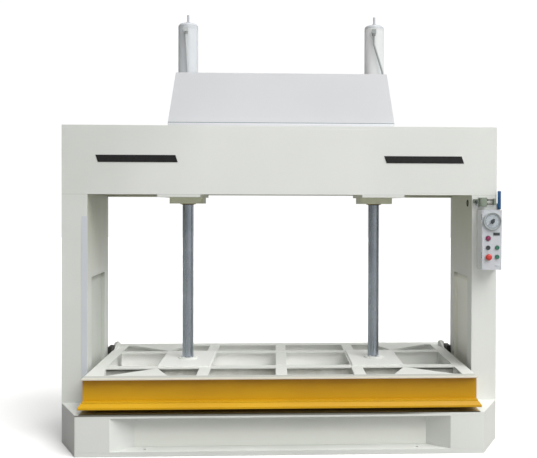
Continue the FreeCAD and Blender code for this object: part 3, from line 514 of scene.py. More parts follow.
def pipe_enamel():
    """Light grey enamel on the cylinder pipes, darker on the right-hand run."""
    paint = enamel("pipe_paint", tint(196, 200, 200), tint(182, 187, 188), 0.36, 0.001)
    paint.lay(paint.along("X", 0.60, 0.62), tint(160, 166, 166))
    return paint.material


def clear_glass():
    """Thin clear window over the dial and over the oil level."""
    glass = Finish("gauge_glass")
    clouds = glass.ranged(glass.noise(20.0), 0.3, 0.7)
    glass.color(glass.blended(clouds, tint(244, 248, 248), tint(236, 242, 243)))
    glass.gloss(glass.ranged(glass.noise(80.0, 4.0), 0.4, 0.8, 0.02, 0.10))
    glass.set(Alpha=0.10, IOR=1.2)
    glass.relief(glass.noise(60.0), 0.02, 0.0002)
    return glass.material


def make_finishes():
    """Every finish on the press by its slot name."""
    return {
        "frame_paint": frame_enamel(),
        "hood_paint": enamel("hood_paint", tint(229, 230, 234), tint(222, 224, 228), 0.40, 0.002).material,
        "platen_paint": platen_enamel(),
        "beam_yellow": yellow_beam(),
        "plate_yellow": pressing_plate_paint(),
        "box_paint": box_enamel(),
        "pale_strip": enamel("pale_strip", tint(208, 212, 217), tint(199, 203, 209), 0.35, 0.001).material,
        "black_trim": plastic("black_trim", tint(2, 2, 3), tint(6, 6, 7), 0.6, 180.0, 0.12).material,
        "steel_plain": metal("steel_plain", tint(150, 150, 144), tint(118, 117, 110), 0.38).material,
        "rod_chrome": rod_steel(),
        "bolt_steel": metal("bolt_steel", tint(122, 121, 114), tint(86, 85, 80), 0.42).material,
        "pipe_paint": pipe_enamel(),
        "pipe_steel": metal("pipe_steel", tint(184, 187, 186), tint(158, 161, 160), 0.40,
                            (0.3, 0.3, 1.0), whole=0.45).material,
        "tank_paint": enamel("tank_paint", tint(168, 172, 168), tint(156, 160, 156)).material,
        "motor_paint": enamel("motor_paint", tint(104, 120, 128), tint(92, 107, 115), 0.45).material,
        "cast_alloy": metal("cast_alloy", tint(172, 172, 170), tint(148, 148, 145), 0.55, scale=140.0,
                            depth=0.35).material,
        "shoe_plastic": plastic("shoe_plastic", tint(40, 41, 38), tint(54, 54, 50), 0.55).material,
        "gauge_metal": metal("gauge_metal", tint(172, 180, 178), tint(152, 160, 158), 0.45,
                             whole=0.0).material,
        "ring_grey": metal("ring_grey", tint(158, 164, 164), tint(136, 142, 143), 0.42, whole=0.1).material,
        "seal_rubber": hood_strip(),
        "gland_bronze": metal("gland_bronze", tint(150, 132, 92), tint(126, 110, 76), 0.42).material,
        "black_plastic": plastic("black_plastic", tint(52, 60, 60), tint(64, 71, 71)).material,
        "green_plastic": plastic("green_plastic", tint(58, 124, 100), tint(48, 110, 88), 0.28).material,
        "red_plastic": plastic("red_plastic", tint(204, 66, 60), tint(190, 54, 50), 0.28).material,
        "lamp_plastic": plastic("lamp_plastic", tint(160, 48, 102), tint(144, 40, 92), 0.24).material,
        "grey_plastic": plastic("grey_plastic", tint(138, 148, 132), tint(124, 134, 120), 0.5,
                                120.0, 0.15).material,
        "blue_vinyl": plastic("blue_vinyl", tint(2, 80, 130), tint(2, 66, 116), 0.5, 90.0, 0.12).material,
        "dial_white": dial_paper(),
        "needle_black": plastic("needle_black", tint(24, 24, 24), tint(34, 34, 34), 0.5).material,
        "gauge_glass": clear_glass(),
    }


def paint_the_nodes(finishes):
    """Gives every CAD piece the finish of its slot in the record."""
    for part in frame["record"]["subparts"]:
        item = nodes[part["node"]]
        for slot in item.material_slots:
            slot.material = finishes[part["material_slot"]]


# ------------------------------------------------------------ modelling by hand

def clear_selection():
    """Leaves edit mode and selects nothing."""
    if bpy.context.object and bpy.context.object.mode != "OBJECT":
        bpy.ops.object.mode_set(mode="OBJECT")
    bpy.ops.object.select_all(action="DESELECT")


def settle(name, finish, body, stands_for=(), angle=35):
    """Puts the piece's place into its mesh and hands it to its body."""
    piece = bpy.context.object
    piece.name = piece.data.name = name
    bpy.ops.object.transform_apply(location=True, rotation=True, scale=True)
    bpy.ops.object.mode_set(mode="EDIT")
    bpy.ops.mesh.select_all(action="SELECT")
    bpy.ops.mesh.remove_doubles(threshold=0.00001)
    bpy.ops.mesh.normals_make_consistent(inside=False)
    bpy.ops.object.mode_set(mode="OBJECT")
    bpy.ops.object.shade_smooth_by_angle(angle=math.radians(angle))
    piece.data.materials.clear()
    piece.data.materials.append(finishes[finish])
    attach(piece, body)
    if stands_for:
        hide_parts(*stands_for)
    return piece


# turns that point a piece drawn upwards to one side of the press
TO_FRONT = (math.radians(90), 0, 0)
TO_BACK = (math.radians(-90), 0, 0)
TO_RIGHT = (0, math.radians(90), 0)
TO_LEFT = (0, math.radians(-90), 0)


def turned_piece(steps, place, sides=48, turn=(0, 0, 0)):
    """A round piece drawn up from a disc: each step is a radius and a height."""
    clear_selection()
    first, base = steps[0]
    bpy.ops.mesh.primitive_circle_add(vertices=sides, radius=first, fill_type="NGON", location=(0, 0, base))
    bpy.ops.object.transform_apply(location=True)
    bpy.ops.object.mode_set(mode="EDIT")
    bpy.ops.mesh.select_all(action="SELECT")
    radius, height = first, base
    for wide, high in steps[1:]:
        bpy.ops.mesh.extrude_region_move(TRANSFORM_OT_translate={"value": (0, 0, high - height)})
        share = wide / radius
        bpy.ops.transform.resize(value=(share, share, 1), center_override=(0, 0, high))
        radius, height = wide, high
    bpy.ops.object.mode_set(mode="OBJECT")
    piece = bpy.context.object
    piece.rotation_euler = turn
    piece.location = place
    return piece


def rolled_ring(radius, thick, place, turn, around, across=8):
    """A round bar bent into a ring."""
    clear_selection()
    bpy.ops.mesh.primitive_torus_add(major_radius=radius, minor_radius=thick, major_segments=around,
                                     minor_segments=across, location=place, rotation=turn)
    return bpy.context.object


def box_piece(low, high, bevel=0.002, segments=2):
    """A block with rounded edges between two corners."""
    clear_selection()
    low, high = Vector(low), Vector(high)
    bpy.ops.mesh.primitive_cube_add(size=1, location=(low + high) / 2)
    piece = bpy.context.object
    piece.scale = high - low
    bpy.ops.object.transform_apply(location=True, rotation=True, scale=True)
    bpy.ops.object.mode_set(mode="EDIT")
    bpy.ops.mesh.select_all(action="SELECT")
    bpy.ops.mesh.bevel(offset=bevel, segments=segments, affect="EDGES")
    bpy.ops.object.mode_set(mode="OBJECT")
    return piece


def join(pieces):
    """Joins the pieces given into the first of them."""
    clear_selection()
    for piece in pieces:
        piece.select_set(True)
    bpy.context.view_layer.objects.active = pieces[0]
    bpy.ops.object.transform_apply(location=True, rotation=True, scale=True)
    bpy.ops.object.join()
    return bpy.context.object


def hex_head(across_corners, high, place, turn=(0, 0, 0), washer=0.0):
    """A hexagon head with chamfered corners, on a washer where one is wanted."""
    low = washer * 0.18
    head = turned_piece([
        (across_corners * 0.93, low), (across_corners, low + high * 0.10),
        (across_corners, low + high * 0.82), (across_corners * 0.84, low + high),
    ], place, 6, turn)
    if not washer:
        return head
    ring = turned_piece([(washer, 0), (washer, low * 0.8), (washer * 0.94, low)], place, 28, turn)
    return join([head, ring])


def weld(start, end, width=0.009, pitch=0.007):
    """A stacked weld bead: flat scales laid one on the next along a seam."""
    clear_selection()
    start, end = Vector(start), Vector(end)
    run = end - start
    bpy.ops.mesh.primitive_uv_sphere_add(segments=8, ring_count=5, radius=width / 2)
    piece = bpy.context.object
    bpy.ops.object.mode_set(mode="EDIT")
    bpy.ops.mesh.select_all(action="SELECT")
    bpy.ops.transform.resize(value=(1.15, 0.9, 0.62))
    bpy.ops.transform.rotate(value=0.3, orient_axis="Y", center_override=(0, 0, 0))
    bpy.ops.object.mode_set(mode="OBJECT")
    row = piece.modifiers.new("row", "ARRAY")
    row.use_relative_offset = False
    row.use_constant_offset = True
    row.constant_offset_displace = (pitch, 0, 0)
    row.count = max(2, int(run.length / pitch))
    bpy.ops.object.modifier_apply(modifier=row.name)
    piece.rotation_euler = run.to_track_quat("X", "Z").to_euler()
    piece.location = start
    return piece


def ring_weld(x, height, radius, parts, width, pitch):
    """Short beads laid in a ring round an upright tube in the middle plane of the press."""
    beads = []
    for part in range(parts):
        ends = [math.radians(360 / parts * step) for step in (part, part + 1)]
        start, end = ((x + radius * math.cos(angle), radius * math.sin(angle), height) for angle in ends)
        beads.append(weld(start, end, width, pitch))
    return beads


def printed(words, size, place, turn):
    """Raised lettering of plain numbers, as a mesh."""
    clear_selection()
    bpy.ops.object.text_add(location=(0, 0, 0))
    piece = bpy.context.object
    piece.data.body = words
    piece.data.size = size
    piece.data.extrude = 0.00012
    piece.data.align_x = "CENTER"
    piece.data.align_y = "CENTER"
    bpy.ops.object.convert(target="MESH")
    piece = bpy.context.object
    piece.rotation_euler = turn
    piece.location = place
    return piece


# ------------------------------------------------------------ buttons and gauge

# each button's place on the door, across and up, and the radius of its hole
BUTTON_SPOTS = {
    "lamp": (1.335, 1.334, 0.016), "black": (1.335, 1.2735, 0.013), "upper_green": (1.3945, 1.274, 0.013),
    "stop": (1.337, 1.2125, 0.013), "lower_green": (1.3945, 1.214, 0.013),
}


def button_cap(spot, steps, name, finish, body, stands_for):
    """A turned cap standing out of the door at one of the button spots."""
    x, z = BUTTON_SPOTS[spot][:2]
    turned_piece(steps, (x, DOOR, z), 48, TO_FRONT)
    settle(name, finish, body, (stands_for,))


def dress_buttons():
    """Dished caps, a ribbed lamp lens, a mushroom head and the rolled collars round them."""
    dished = [(0.0122, -0.008), (0.0126, -0.007), (0.0126, 0.0080), (0.0122, 0.0090), (0.0113, 0.0095),
              (0.0104, 0.0094), (0.0092, 0.0088), (0.0050, 0.0082), (0.0006, 0.0081)]
    button_cap("black", dished, "black_cap", "black_plastic", "black_push", "black_button")
    button_cap("upper_green", dished, "upper_green_cap", "green_plastic", "upper_green_push",
               "green_button_upper")
    button_cap("lower_green", dished, "lower_green_cap", "green_plastic", "lower_green_push",
               "green_button_lower")
    lens = [(0.0150, -0.008), (0.0156, -0.007), (0.0156, 0.0050), (0.0150, 0.0066), (0.0138, 0.0078),
            (0.0132, 0.0074), (0.0112, 0.0096), (0.0106, 0.0092), (0.0084, 0.0110), (0.0078, 0.0106),
            (0.0052, 0.0120), (0.0024, 0.0125), (0.0005, 0.0125)]
    button_cap("lamp", lens, "lamp_lens", "lamp_plastic", "frame", "power_lamp")
    mushroom = [(0.0122, -0.008), (0.0126, -0.007), (0.0126, 0.0095), (0.0130, 0.0100), (0.0196, 0.0104),
                (0.0208, 0.0112), (0.0210, 0.0130), (0.0207, 0.0148), (0.0195, 0.0172), (0.0174, 0.0194),
                (0.0140, 0.0214), (0.0098, 0.0226), (0.0050, 0.0230), (0.0006, 0.0230)]
    button_cap("stop", mushroom, "stop_mushroom", "red_plastic", "stop_push", "stop_button")
    collars = []
    thick = 0.00125
    for x, z, hole in BUTTON_SPOTS.values():
        collars.append(rolled_ring(hole + thick, thick, (x, DOOR - thick, z), TO_FRONT, 40, 10))
        bpy.ops.object.mode_set(mode="EDIT")
        bpy.ops.mesh.select_all(action="SELECT")
        bpy.ops.transform.resize(value=(1, 1.6, 1), center_override=(x, DOOR, z))
        bpy.ops.object.mode_set(mode="OBJECT")
    join(collars)
    settle("button_collars", "ring_grey", "frame", ("button_rings",))


def dress_knob():
    """Setting knob with a slanted grip standing on a stepped disc."""
    disc = turned_piece([(0.0030, 0.0080), (0.0030, 0.0145), (0.0122, 0.0145), (0.0130, 0.0155),
                         (0.0130, 0.0195), (0.0120, 0.0212), (0.0108, 0.0220)],
                        (GAUGE_X, DOOR, GAUGE_Z), 40, TO_FRONT)
    grip = box_piece((-0.0070, -0.0260, -0.0172), (0.0070, -0.0212, 0.0172), 0.0016, 3)
    grip.rotation_euler = (0, math.radians(28), 0)
    grip.location = (GAUGE_X, DOOR, GAUGE_Z)
    join([disc, grip])
    settle("contact_setting_knob", "black_plastic", "contact_knob", ("gauge_knob",))


def dress_gauge():
    """Rolled rims on the bezel, and scale marks and plain numbers round the dial."""
    join([rolled_ring(radius, thick, (GAUGE_X, DOOR - out, GAUGE_Z), TO_FRONT, 72, 10)
          for radius, thick, out in ((0.0565, 0.0022, 0.0128), (0.0583, 0.0012, 0.0030),
                                     (0.0535, 0.0010, 0.0142))])
    settle("gauge_rim", "gauge_metal", "frame")

    face, first_angle, sweep = DOOR - 0.0046, 225, 270
    small_marks, big_marks, scale_edge, number_ring = 50, 5, 0.0470, 0.0365
    marks = []
    for step in range(small_marks + 1):
        angle = math.radians(first_angle - sweep / small_marks * step)
        long = step % (small_marks // big_marks) == 0
        wide, reach = (0.0007, 0.0050) if long else (0.0004, 0.0030)
        mark = box_piece((-wide, -0.0001, scale_edge - reach), (wide, 0.0001, scale_edge), 0.00005, 1)
        mark.rotation_euler = (0, math.pi / 2 - angle, 0)
        mark.location = (GAUGE_X, face, GAUGE_Z)
        marks.append(mark)
    for step in range(big_marks + 1):
        angle = math.radians(first_angle - sweep / big_marks * step)
        spot = (GAUGE_X + number_ring * math.cos(angle), face, GAUGE_Z + number_ring * math.sin(angle))
        marks.append(printed(str(step * 5), 0.0072, spot, TO_FRONT))
    join(marks)
    settle("gauge_scale", "needle_black", "frame")


# ------------------------------------------------------------ control box and switch

def dress_box():
    """Hinges, rolled edge, gasket, blank marker plates and screws of the control box door."""
    left, right, low, top = 1.296, 1.423, 1.130, 1.517
    hinges = []
    for height in (1.205, 1.452):
        for part in range(3):
            base = height + part * 0.0132
            hinges.append(turned_piece(
                [(0.0030, 0), (0.0038, 0.0006), (0.0038, 0.0118), (0.0030, 0.0124)],
                (left - 0.0022, DOOR + 0.002, base), 18))
    join(hinges)
    settle("door_hinges", "ring_grey", "frame")

    lip = 0.003
    edges = ((left, low, right, low + lip), (left, top - lip, right, top),
             (left, low, left + lip, top), (right - lip, low, right, top))
    join([box_piece((start, DOOR - 0.0008, foot), (end, DOOR, head), 0.0003, 1)
          for start, foot, end, head in edges])
    settle("door_rolled_edge", "box_paint", "frame")

    join([box_piece((left + 0.0005, DOOR + 0.0030, height),
                    (right - 0.0005, DOOR + 0.0046, height + 0.0008), 0.0002, 1)
          for height in (low + 0.0004, top - 0.0012)])
    settle("door_gasket", "shoe_plastic", "frame")

    box_piece((1.369, DOOR - 0.0030, 1.353), (1.411, DOOR, 1.371), 0.0008)
    settle("blank_marker_bar", "black_plastic", "frame", ("door_trim",))
    box_piece((1.380, DOOR - 0.0012, 1.151), (1.412, DOOR, 1.165), 0.0004)
    settle("blank_marker_plate", "pale_strip", "frame")

    head = [(0.0040, 0), (0.0040, 0.0010), (0.0034, 0.0019), (0.0014, 0.0020), (0.0013, 0.0010)]
    inset = 0.009
    join([turned_piece(head, (x, DOOR - 0.0008, z), 20, TO_FRONT)
          for x in (left + inset, right - inset) for z in (low + inset, top - inset)])
    settle("door_screws", "box_paint", "frame")


def dress_switch():
    """Cover, screws, cable tubes and end block of the limit switch, with its lever and roller."""
    front = -0.357
    box_piece((1.306, front - 0.0032, 1.542), (1.347, front, 1.595), 0.0014)
    settle("switch_cover", "grey_plastic", "frame")
    head = [(0.0028, 0), (0.0028, 0.0009), (0.0022, 0.0015), (0.0009, 0.0015), (0.0008, 0.0007)]
    join([turned_piece(head, (x, front - 0.0032, z), 16, TO_FRONT)
          for x in (1.311, 1.342) for z in (1.547, 1.590)])
    settle("switch_cover_screws", "bolt_steel", "frame")
    tube_starts = [(1.350, -0.336, height) for height in (1.584, 1.556)]
    join([hex_head(0.0088, 0.009, start, TO_RIGHT) for start in tube_starts])
    settle("switch_cable_nuts", "black_plastic", "frame")

    join([turned_piece([(0.0050, 0), (0.0050, 0.0470)], start, 20, TO_RIGHT) for start in tube_starts])
    settle("switch_cable_tubes", "bolt_steel", "frame", ("switch_tubes",))
    box_piece((1.397, -0.350, 1.548), (1.412, -0.3152, 1.592), 0.0025, 3)
    settle("switch_junction", "grey_plastic", "frame")

    hub = turned_piece([(0.0080, 0), (0.0090, 0.0008), (0.0090, 0.0090), (0.0082, 0.0098), (0.0052, 0.0100),
                        (0.0052, 0.0120), (0.0046, 0.0126)], (1.279, -0.3486, 1.573), 28, TO_FRONT)
    arm = box_piece((1.275, -0.3585, 1.553), (1.287, -0.3545, 1.573), 0.0012)
    join([hub, arm])
    settle("lever_hub_and_arm", "black_plastic", "switch_lever", ("limit_lever",))
    turned_piece([(0.0030, 0), (0.0030, 0.0006), (0.0092, 0.0010), (0.0100, 0.0018), (0.0100, 0.0050),
                  (0.0094, 0.0056), (0.0092, 0.0060), (0.0034, 0.0061), (0.0034, 0.0136), (0.0028, 0.0140)],
                 (1.283, -0.3491, 1.553), 32, TO_FRONT)
    settle("lever_roller", "ring_grey", "switch_lever")


def dress_valve_lever():
    """Blue dipped lever with soft corners, its pivot nut and its stem."""
    box_piece((1.426, -0.340, 1.521), (1.448, -0.330, 1.642), 0.0046, 5)
    settle("valve_lever_sleeve", "blue_vinyl", "valve_handle", ("valve_lever",))
    pivot_x, pivot_z = 1.437, 1.533
    hex_head(0.0065, 0.005, (pivot_x, -0.340, pivot_z), TO_FRONT, 0.008)
    settle("valve_pivot_nut", "blue_vinyl", "valve_handle")
    turned_piece([(0.0062, 0), (0.0070, 0.0010), (0.0070, 0.0145), (0.0062, 0.0155)],
                 (pivot_x, -0.3145, pivot_z), 24, TO_FRONT)
    settle("valve_stem", "pipe_paint", "valve_handle")


# ------------------------------------------------------------ platen

def dress_platen():
    """Ring bolts, and weld beads at the foot plates, the rear brackets and the beam flanges."""
    level, bolt_ring = 0.493, 0.052
    heads = []
    for side in (-1, 1):
        for step in range(6):
            angle = math.radians(60 * step)
            spot = (ROD * side + bolt_ring * math.cos(angle), bolt_ring * math.sin(angle), level)
            heads.append(hex_head(0.0080, 0.0050, spot, (0, 0, 0.3 * step), 0.0088))
    join(heads)
    settle("ring_bolt_heads", "platen_paint", "platen", ("foot_bolts",))

    top, beads = 0.4755, []
    half_width, half_depth = 0.1715, 0.2635
    for side in (-1, 1):
        left, right = ROD * side - half_width, ROD * side + half_width
        corners = ((left, -half_depth), (right, -half_depth), (right, half_depth), (left, half_depth))
        for start, end in zip(corners, corners[1:] + corners[:1]):
            beads.append(weld((*start, top + 0.001), (*end, top + 0.001)))
        beads.extend(ring_weld(ROD * side, 0.484, 0.0675, 12, 0.006, 0.005))
        beads.append(weld((1.196 * side, 0.4535, top), (1.229 * side, 0.4535, top), 0.008))
        beads.append(weld((1.2050 * side, 0.335, top), (1.2050 * side, 0.452, top), 0.006))
    join(beads)
    settle("foot_weld_beads", "platen_paint", "platen", angle=60)

    flange_top, half_seam = 0.4752, 0.036
    flange_edges = (-0.520, -0.299, -0.221, 0.221, 0.299, 0.520)
    seams = []
    for x in (-0.500, 0.0, 0.500):
        for y in flange_edges:
            seams.append(weld((x - half_seam, y, flange_top), (x + half_seam, y, flange_top), 0.006, 0.006))
    for side in (-1, 1):
        for y in (flange_edges[0], flange_edges[-1]):
            seams.append(weld((1.151 * side, y, flange_top), (1.229 * side, y, flange_top), 0.006, 0.006))
    join(seams)
    settle("beam_weld_seams", "platen_paint", "platen", angle=60)


# ------------------------------------------------------------ frame

def dress_frame():
    """Weld beads where the columns, the bed and the saddles meet, and the cable bush."""
    beads = []
    table, crown, saddle = 0.2575, 1.6135, 1.6130
    run, face = 0.314, 0.3155
    for side in (-1, 1):
        inner, outer = 1.2605 * side, 1.4245 * side
        beads.append(weld((inner, -run, table), (inner, run, table), 0.007))
        for y in (-face, face):
            beads.append(weld((inner, y, table), (outer, y, table), 0.007))
        beads.append(weld((inner, -run, crown), (inner, run, crown), 0.007))
        for edge in (0.531, 0.810):
            beads.append(weld((edge * side, -0.312, saddle), (edge * side, 0.312, saddle), 0.006))
    join(beads)
    settle("frame_weld_beads", "frame_paint", "frame", angle=60)

    cable_hole = (COLUMN_FACE, -0.200, 1.562)
    rolled_ring(0.0205, 0.0035, cable_hole, TO_RIGHT, 36)
    settle("cable_bush", "shoe_plastic", "frame")
    turned_piece([(0.0178, -0.012), (0.0178, -0.004), (0.0160, -0.002)], cable_hole, 32, TO_LEFT)
    settle("cable_bush_plug", "grey_plastic", "frame")


# ------------------------------------------------------------ power unit and hood

def dress_motor():
    """Cooling ribs, fan grille, screws, terminal lid and cable gland of the pump motor."""
    ribs = []
    for step in range(36):
        angle = 10 * step
        under_the_box = 60 < angle < 120
        over_the_feet = 232 < angle < 308
        if under_the_box or over_the_feet:
            continue
        rib = box_piece((0.262, -0.0015, 0.0865), (0.456, 0.0015, 0.0965), 0.0006, 1)
        rib.rotation_euler = (math.radians(90 - angle), 0, 0)
        rib.location = (0, MOTOR_Y, MOTOR_Z)
        ribs.append(rib)
    join(ribs)
    settle("motor_ribs", "motor_paint", "frame")

    rings = [rolled_ring(radius, 0.0016, (0.5490, MOTOR_Y, MOTOR_Z), TO_RIGHT, 48)
             for radius in (0.030, 0.044, 0.076, 0.086)]
    rings.append(turned_piece([(0.020, 0), (0.020, 0.0015), (0.017, 0.003), (0.001, 0.003)],
                              (0.548, MOTOR_Y, MOTOR_Z), 32, TO_RIGHT))
    join(rings)
    settle("fan_grille", "motor_paint", "frame")

    screws = []
    for step in range(4):
        angle = math.radians(45 + 90 * step)
        spot = (0.2375, MOTOR_Y + 0.079 * math.cos(angle), MOTOR_Z + 0.079 * math.sin(angle))
        screws.append(hex_head(0.0065, 0.0050, spot, TO_LEFT, 0.0078))
    for x in (0.295, 0.435):
        for across in (0.062, 0.178):
            screws.append(hex_head(0.0078, 0.0060, (x, across, 2.0642), (0, 0, 0.4), 0.0105))
    join(screws)
    settle("motor_screws", "bolt_steel", "frame")

    lid = box_piece((0.318, 0.078, 2.2895), (0.412, 0.162, 2.2935), 0.0014)
    head = [(0.0034, 0), (0.0034, 0.0012), (0.0026, 0.0020), (0.0010, 0.0020), (0.0009, 0.0010)]
    heads = [turned_piece(head, (x, across, 2.2933), 14)
             for x in (0.326, 0.404) for across in (0.086, 0.154)]
    join([lid, *heads])
    settle("terminal_lid", "motor_paint", "frame")
    hex_head(0.0105, 0.010, (0.365, 0.0802, 2.264), TO_FRONT, 0.0125)
    settle("terminal_gland", "black_plastic", "frame")


def dress_pump():
    """Screws of the pump's plates, and its port nuts."""
    socket = [(0.0060, 0), (0.0060, 0.0070), (0.0052, 0.0078), (0.0032, 0.0078), (0.0030, 0.0040)]
    screws = []
    for across in (-0.047, 0.047):
        for up in (-0.041, 0.041):
            screws.append(turned_piece(socket, (0.158, MOTOR_Y + across, MOTOR_Z + up), 20, TO_LEFT))
    for across in (-0.031, 0.031):
        for up in (-0.031, 0.031):
            screws.append(hex_head(0.0058, 0.0045, (0.0902, MOTOR_Y + across, MOTOR_Z + up), TO_LEFT,
                                   0.0070))
    join(screws)
    settle("pump_screws", "bolt_steel", "frame")
    nuts = [hex_head(0.0150, 0.014, (0.130, 0.145, 2.2158), (0, 0, 0.2)),
            hex_head(0.0260, 0.016, (-0.0400, 0.120, 2.160), TO_RIGHT),
            hex_head(0.0260, 0.014, (0.0760, 0.120, 2.160), TO_RIGHT)]
    join(nuts)
    settle("pump_port_nuts", "pipe_steel", "frame")


def dress_tank():
    """Weld seams, lid screws, drain plug, level glass and filler cap ribs of the oil tank."""
    foot, lid = 2.0655, 2.3378
    seams = []
    for x in (-0.520, -0.040):
        for y in (-0.060, 0.300):
            seams.append(weld((x, y, 2.0680), (x, y, 2.3280), 0.006, 0.006))
    for y in (0.3005, -0.0605):
        seams.append(weld((-0.518, y, foot), (-0.042, y, foot), 0.007, 0.007))
    for x in (-0.5205, -0.0395):
        seams.append(weld((x, -0.058, foot), (x, 0.298, foot), 0.007, 0.007))
    join(seams)
    settle("tank_weld_seams", "tank_paint", "frame", angle=60)

    screws = []
    for x in (-0.515, -0.400, -0.160, -0.045):
        for y in (-0.057, 0.297):
            screws.append(hex_head(0.0060, 0.0045, (x, y, lid), (0, 0, 0.2), 0.0078))
    for x in (-0.5225, -0.0375):
        screws.append(hex_head(0.0060, 0.0045, (x, 0.120, lid), (0, 0, 0.2), 0.0078))
    plug = hex_head(0.0140, 0.010, (-0.450, 0.2998, 2.092), TO_BACK, 0.0185)
    join([*screws, plug])
    settle("tank_screws_and_plug", "bolt_steel", "frame")

    bar = box_piece((-0.138, 0.2995, 2.120), (-0.108, 0.3085, 2.262), 0.0025)
    studs = [hex_head(0.0062, 0.0050, (-0.123, 0.3083, height), TO_BACK) for height in (2.131, 2.251)]
    join([bar, *studs])
    settle("level_glass_frame", "cast_alloy", "frame")
    box_piece((-0.129, 0.3082, 2.146), (-0.117, 0.3112, 2.236), 0.0013)
    settle("level_window", "gauge_glass", "frame")

    filler_x, filler_y, rim = -0.440, 0.220, 0.0338
    ribs = []
    for step in range(18):
        angle = math.radians(20 * step)
        rib = box_piece((-0.0022, -0.0017, 2.3710), (0.0022, 0.0017, 2.3990), 0.0008, 1)
        rib.rotation_euler = (0, 0, angle)
        rib.location = (filler_x + rim * math.cos(angle), filler_y + rim * math.sin(angle), 0)
        ribs.append(rib)
    collar = turned_piece([(0.0300, 0), (0.0310, 0.0015), (0.0310, 0.0050), (0.0250, 0.0060)],
                          (filler_x, filler_y, lid), 36)
    join([*ribs, collar])
    settle("filler_cap_ribs", "black_plastic", "frame")


def dress_manifold():
    """Screws, plugs, coil nuts and coil housings on the valve block."""
    coil_places = (-0.196, -0.124)
    socket = [(0.0042, 0), (0.0042, 0.0045), (0.0036, 0.0052), (0.0022, 0.0052), (0.0020, 0.0025)]
    plug = [(0.0085, 0), (0.0085, 0.0016), (0.0076, 0.0024), (0.0042, 0.0024), (0.0040, 0.0004)]
    plugs = []
    for x in coil_places:
        for y in (0.080, 0.140):
            for shift in (-0.017, 0.017):
                plugs.append(turned_piece(socket, (x + shift, y, 2.4398), 16))
    for x in (-0.220, -0.160, -0.100):
        plugs.append(turned_piece(plug, (x, VALVE_FRONT, 2.371), 24, TO_FRONT))
    for x in coil_places:
        plugs.append(hex_head(0.0092, 0.008, (x, 0.2198, 2.422), TO_BACK))
    join(plugs)
    settle("manifold_screws", "bolt_steel", "frame")
    coils = []
    for x in coil_places:
        coils.append(box_piece((x - 0.0175, 0.1600, 2.4045), (x + 0.0175, 0.2130, 2.4395), 0.0040, 3))
        coils.append(box_piece((x - 0.0130, 0.1700, 2.4385), (x + 0.0130, 0.2010, 2.4560), 0.0030, 3))
        coils.append(turned_piece([(0.0060, 0), (0.0060, 0.0060), (0.0048, 0.0090)],
                                  (x, 0.1858, 2.4558), 20))
    join(coils)
    settle("coil_housings", "black_plastic", "frame")


def dress_hood():
    """Screws and rear fold of the sheet hood, and the pale strip along its foot with a dark strip above it
    standing for shade.
    """
    low, top, front, back = 2.077, 2.413, -0.285, -0.110
    wide, narrow = 0.748, 0.694
    lean = math.atan2(wide - narrow, top - low)
    head = [(0.0052, 0), (0.0052, 0.0010), (0.0044, 0.0020), (0.0016, 0.0021), (0.0015, 0.0010)]
    row = -0.135
    screws = []
    for side in (-1, 1):
        for share in (0.12, 0.50, 0.88):
            height = low + (top - low) * share
            reach = (wide - (wide - narrow) * share) * side
            turn = (0, math.radians(90) * side - lean * side, 0)
            screws.append(turned_piece(head, (reach - 0.0020 * side, row, height), 20, turn))
    for x in (-0.60, -0.30, 0.0, 0.30, 0.60):
        screws.append(turned_piece(head, (x, row, top - 0.0021), 20))
    join(screws)
    settle("hood_screws", "hood_paint", "frame")
    box_piece((-narrow + 0.006, back - 0.022, top - 0.0062), (narrow - 0.006, back - 0.0002, top - 0.0032),
              0.0008)
    settle("hood_rear_fold", "hood_paint", "frame")
    box_piece((-0.7455, front - 0.0042, 2.0646), (0.7455, front - 0.0003, 2.0850), 0.0008)
    settle("hood_foot_strip", "hood_paint", "frame")
    # painted shade: a dark strip above the pale strip, standing for the shadow line at the hood's foot
    box_piece((-0.7452, front - 0.0016, 2.0852), (0.7452, front - 0.0002, 2.0885), 0.0003, 1)
    settle("hood_foot_shade_strip", "motor_paint", "frame")


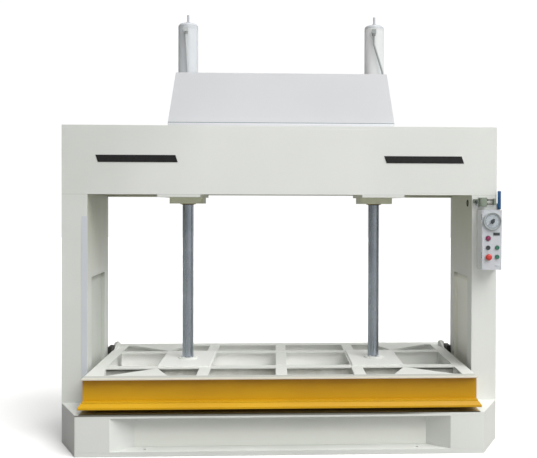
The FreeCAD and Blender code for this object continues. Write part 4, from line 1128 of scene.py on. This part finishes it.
def dress_pipes():
    """Union nuts where the pipes end, and the clips that hold the gauge line to the crown."""
    nuts = []
    for x in (-0.652, 0.632):
        nuts.append(hex_head(0.0120, 0.014, (x, -0.088, 2.7215), (math.radians(180), 0, 0.3)))
    for x in (-0.546, 0.546):
        nuts.append(hex_head(0.0112, 0.013, (x, 0, 1.6902), (0, 0, 0.3)))
    for y in (0.085, 0.145):
        nuts.append(hex_head(0.0125, 0.012, (-0.080, y, 2.376), TO_RIGHT))
    nuts.append(hex_head(0.0125, 0.012, (-0.2402, 0.110, 2.376), TO_LEFT))
    for x in (-0.200, -0.120):
        nuts.append(hex_head(0.0112, 0.012, (x, VALVE_FRONT, 2.352), TO_FRONT))
    join(nuts)
    settle("pipe_union_nuts", "pipe_steel", "frame")
    clips = [box_piece((1.170, 0.2365, 2.0638), (1.190, 0.2535, 2.0915), 0.003)]
    for height in (1.62, 1.85):
        clips.append(box_piece((1.4240, 0.2365, height - 0.010), (1.4440, 0.2535, height + 0.010), 0.003))
    join(clips)
    settle("pipe_clips", "shoe_plastic", "frame")


def dress_cylinders():
    """Weld rings at the domes and rod wipers under the glands."""
    ring = [(0.0420, 0), (0.0420, 0.0018), (0.0400, 0.0030), (0.0383, 0.0036), (0.0380, 0.0002)]
    beads, wipers = [], []
    for side in (-1, 1):
        x = ROD * side
        beads.extend(ring_weld(x, 2.760, 0.0672, 24, 0.004, 0.0035))
        wipers.append(turned_piece(ring, (x, 0, 1.5492), 48, (math.radians(180), 0, 0)))
    join(beads)
    settle("dome_weld_rings", "frame_paint", "frame", angle=60)
    join(wipers)
    settle("rod_wipers", "shoe_plastic", "frame")


def dress_crown():
    """A flat bar welded under the rear edge of the crown on each side."""
    join([box_piece((left, 0.290, 1.6010), (right, 0.3140, CROWN_FOOT), 0.0015)
          for left, right in ((-1.2592, -0.815), (0.815, 1.2592))])
    settle("crown_rear_bars", "frame_paint", "frame")


light_the_room()
lay_floor()
place_camera()
finishes = make_finishes()
paint_the_nodes(finishes)
dress_buttons()
dress_knob()
dress_gauge()
dress_box()
dress_switch()
dress_valve_lever()
dress_platen()
dress_frame()
dress_motor()
dress_pump()
dress_tank()
dress_manifold()
dress_hood()
dress_pipes()
dress_cylinders()
dress_crown()
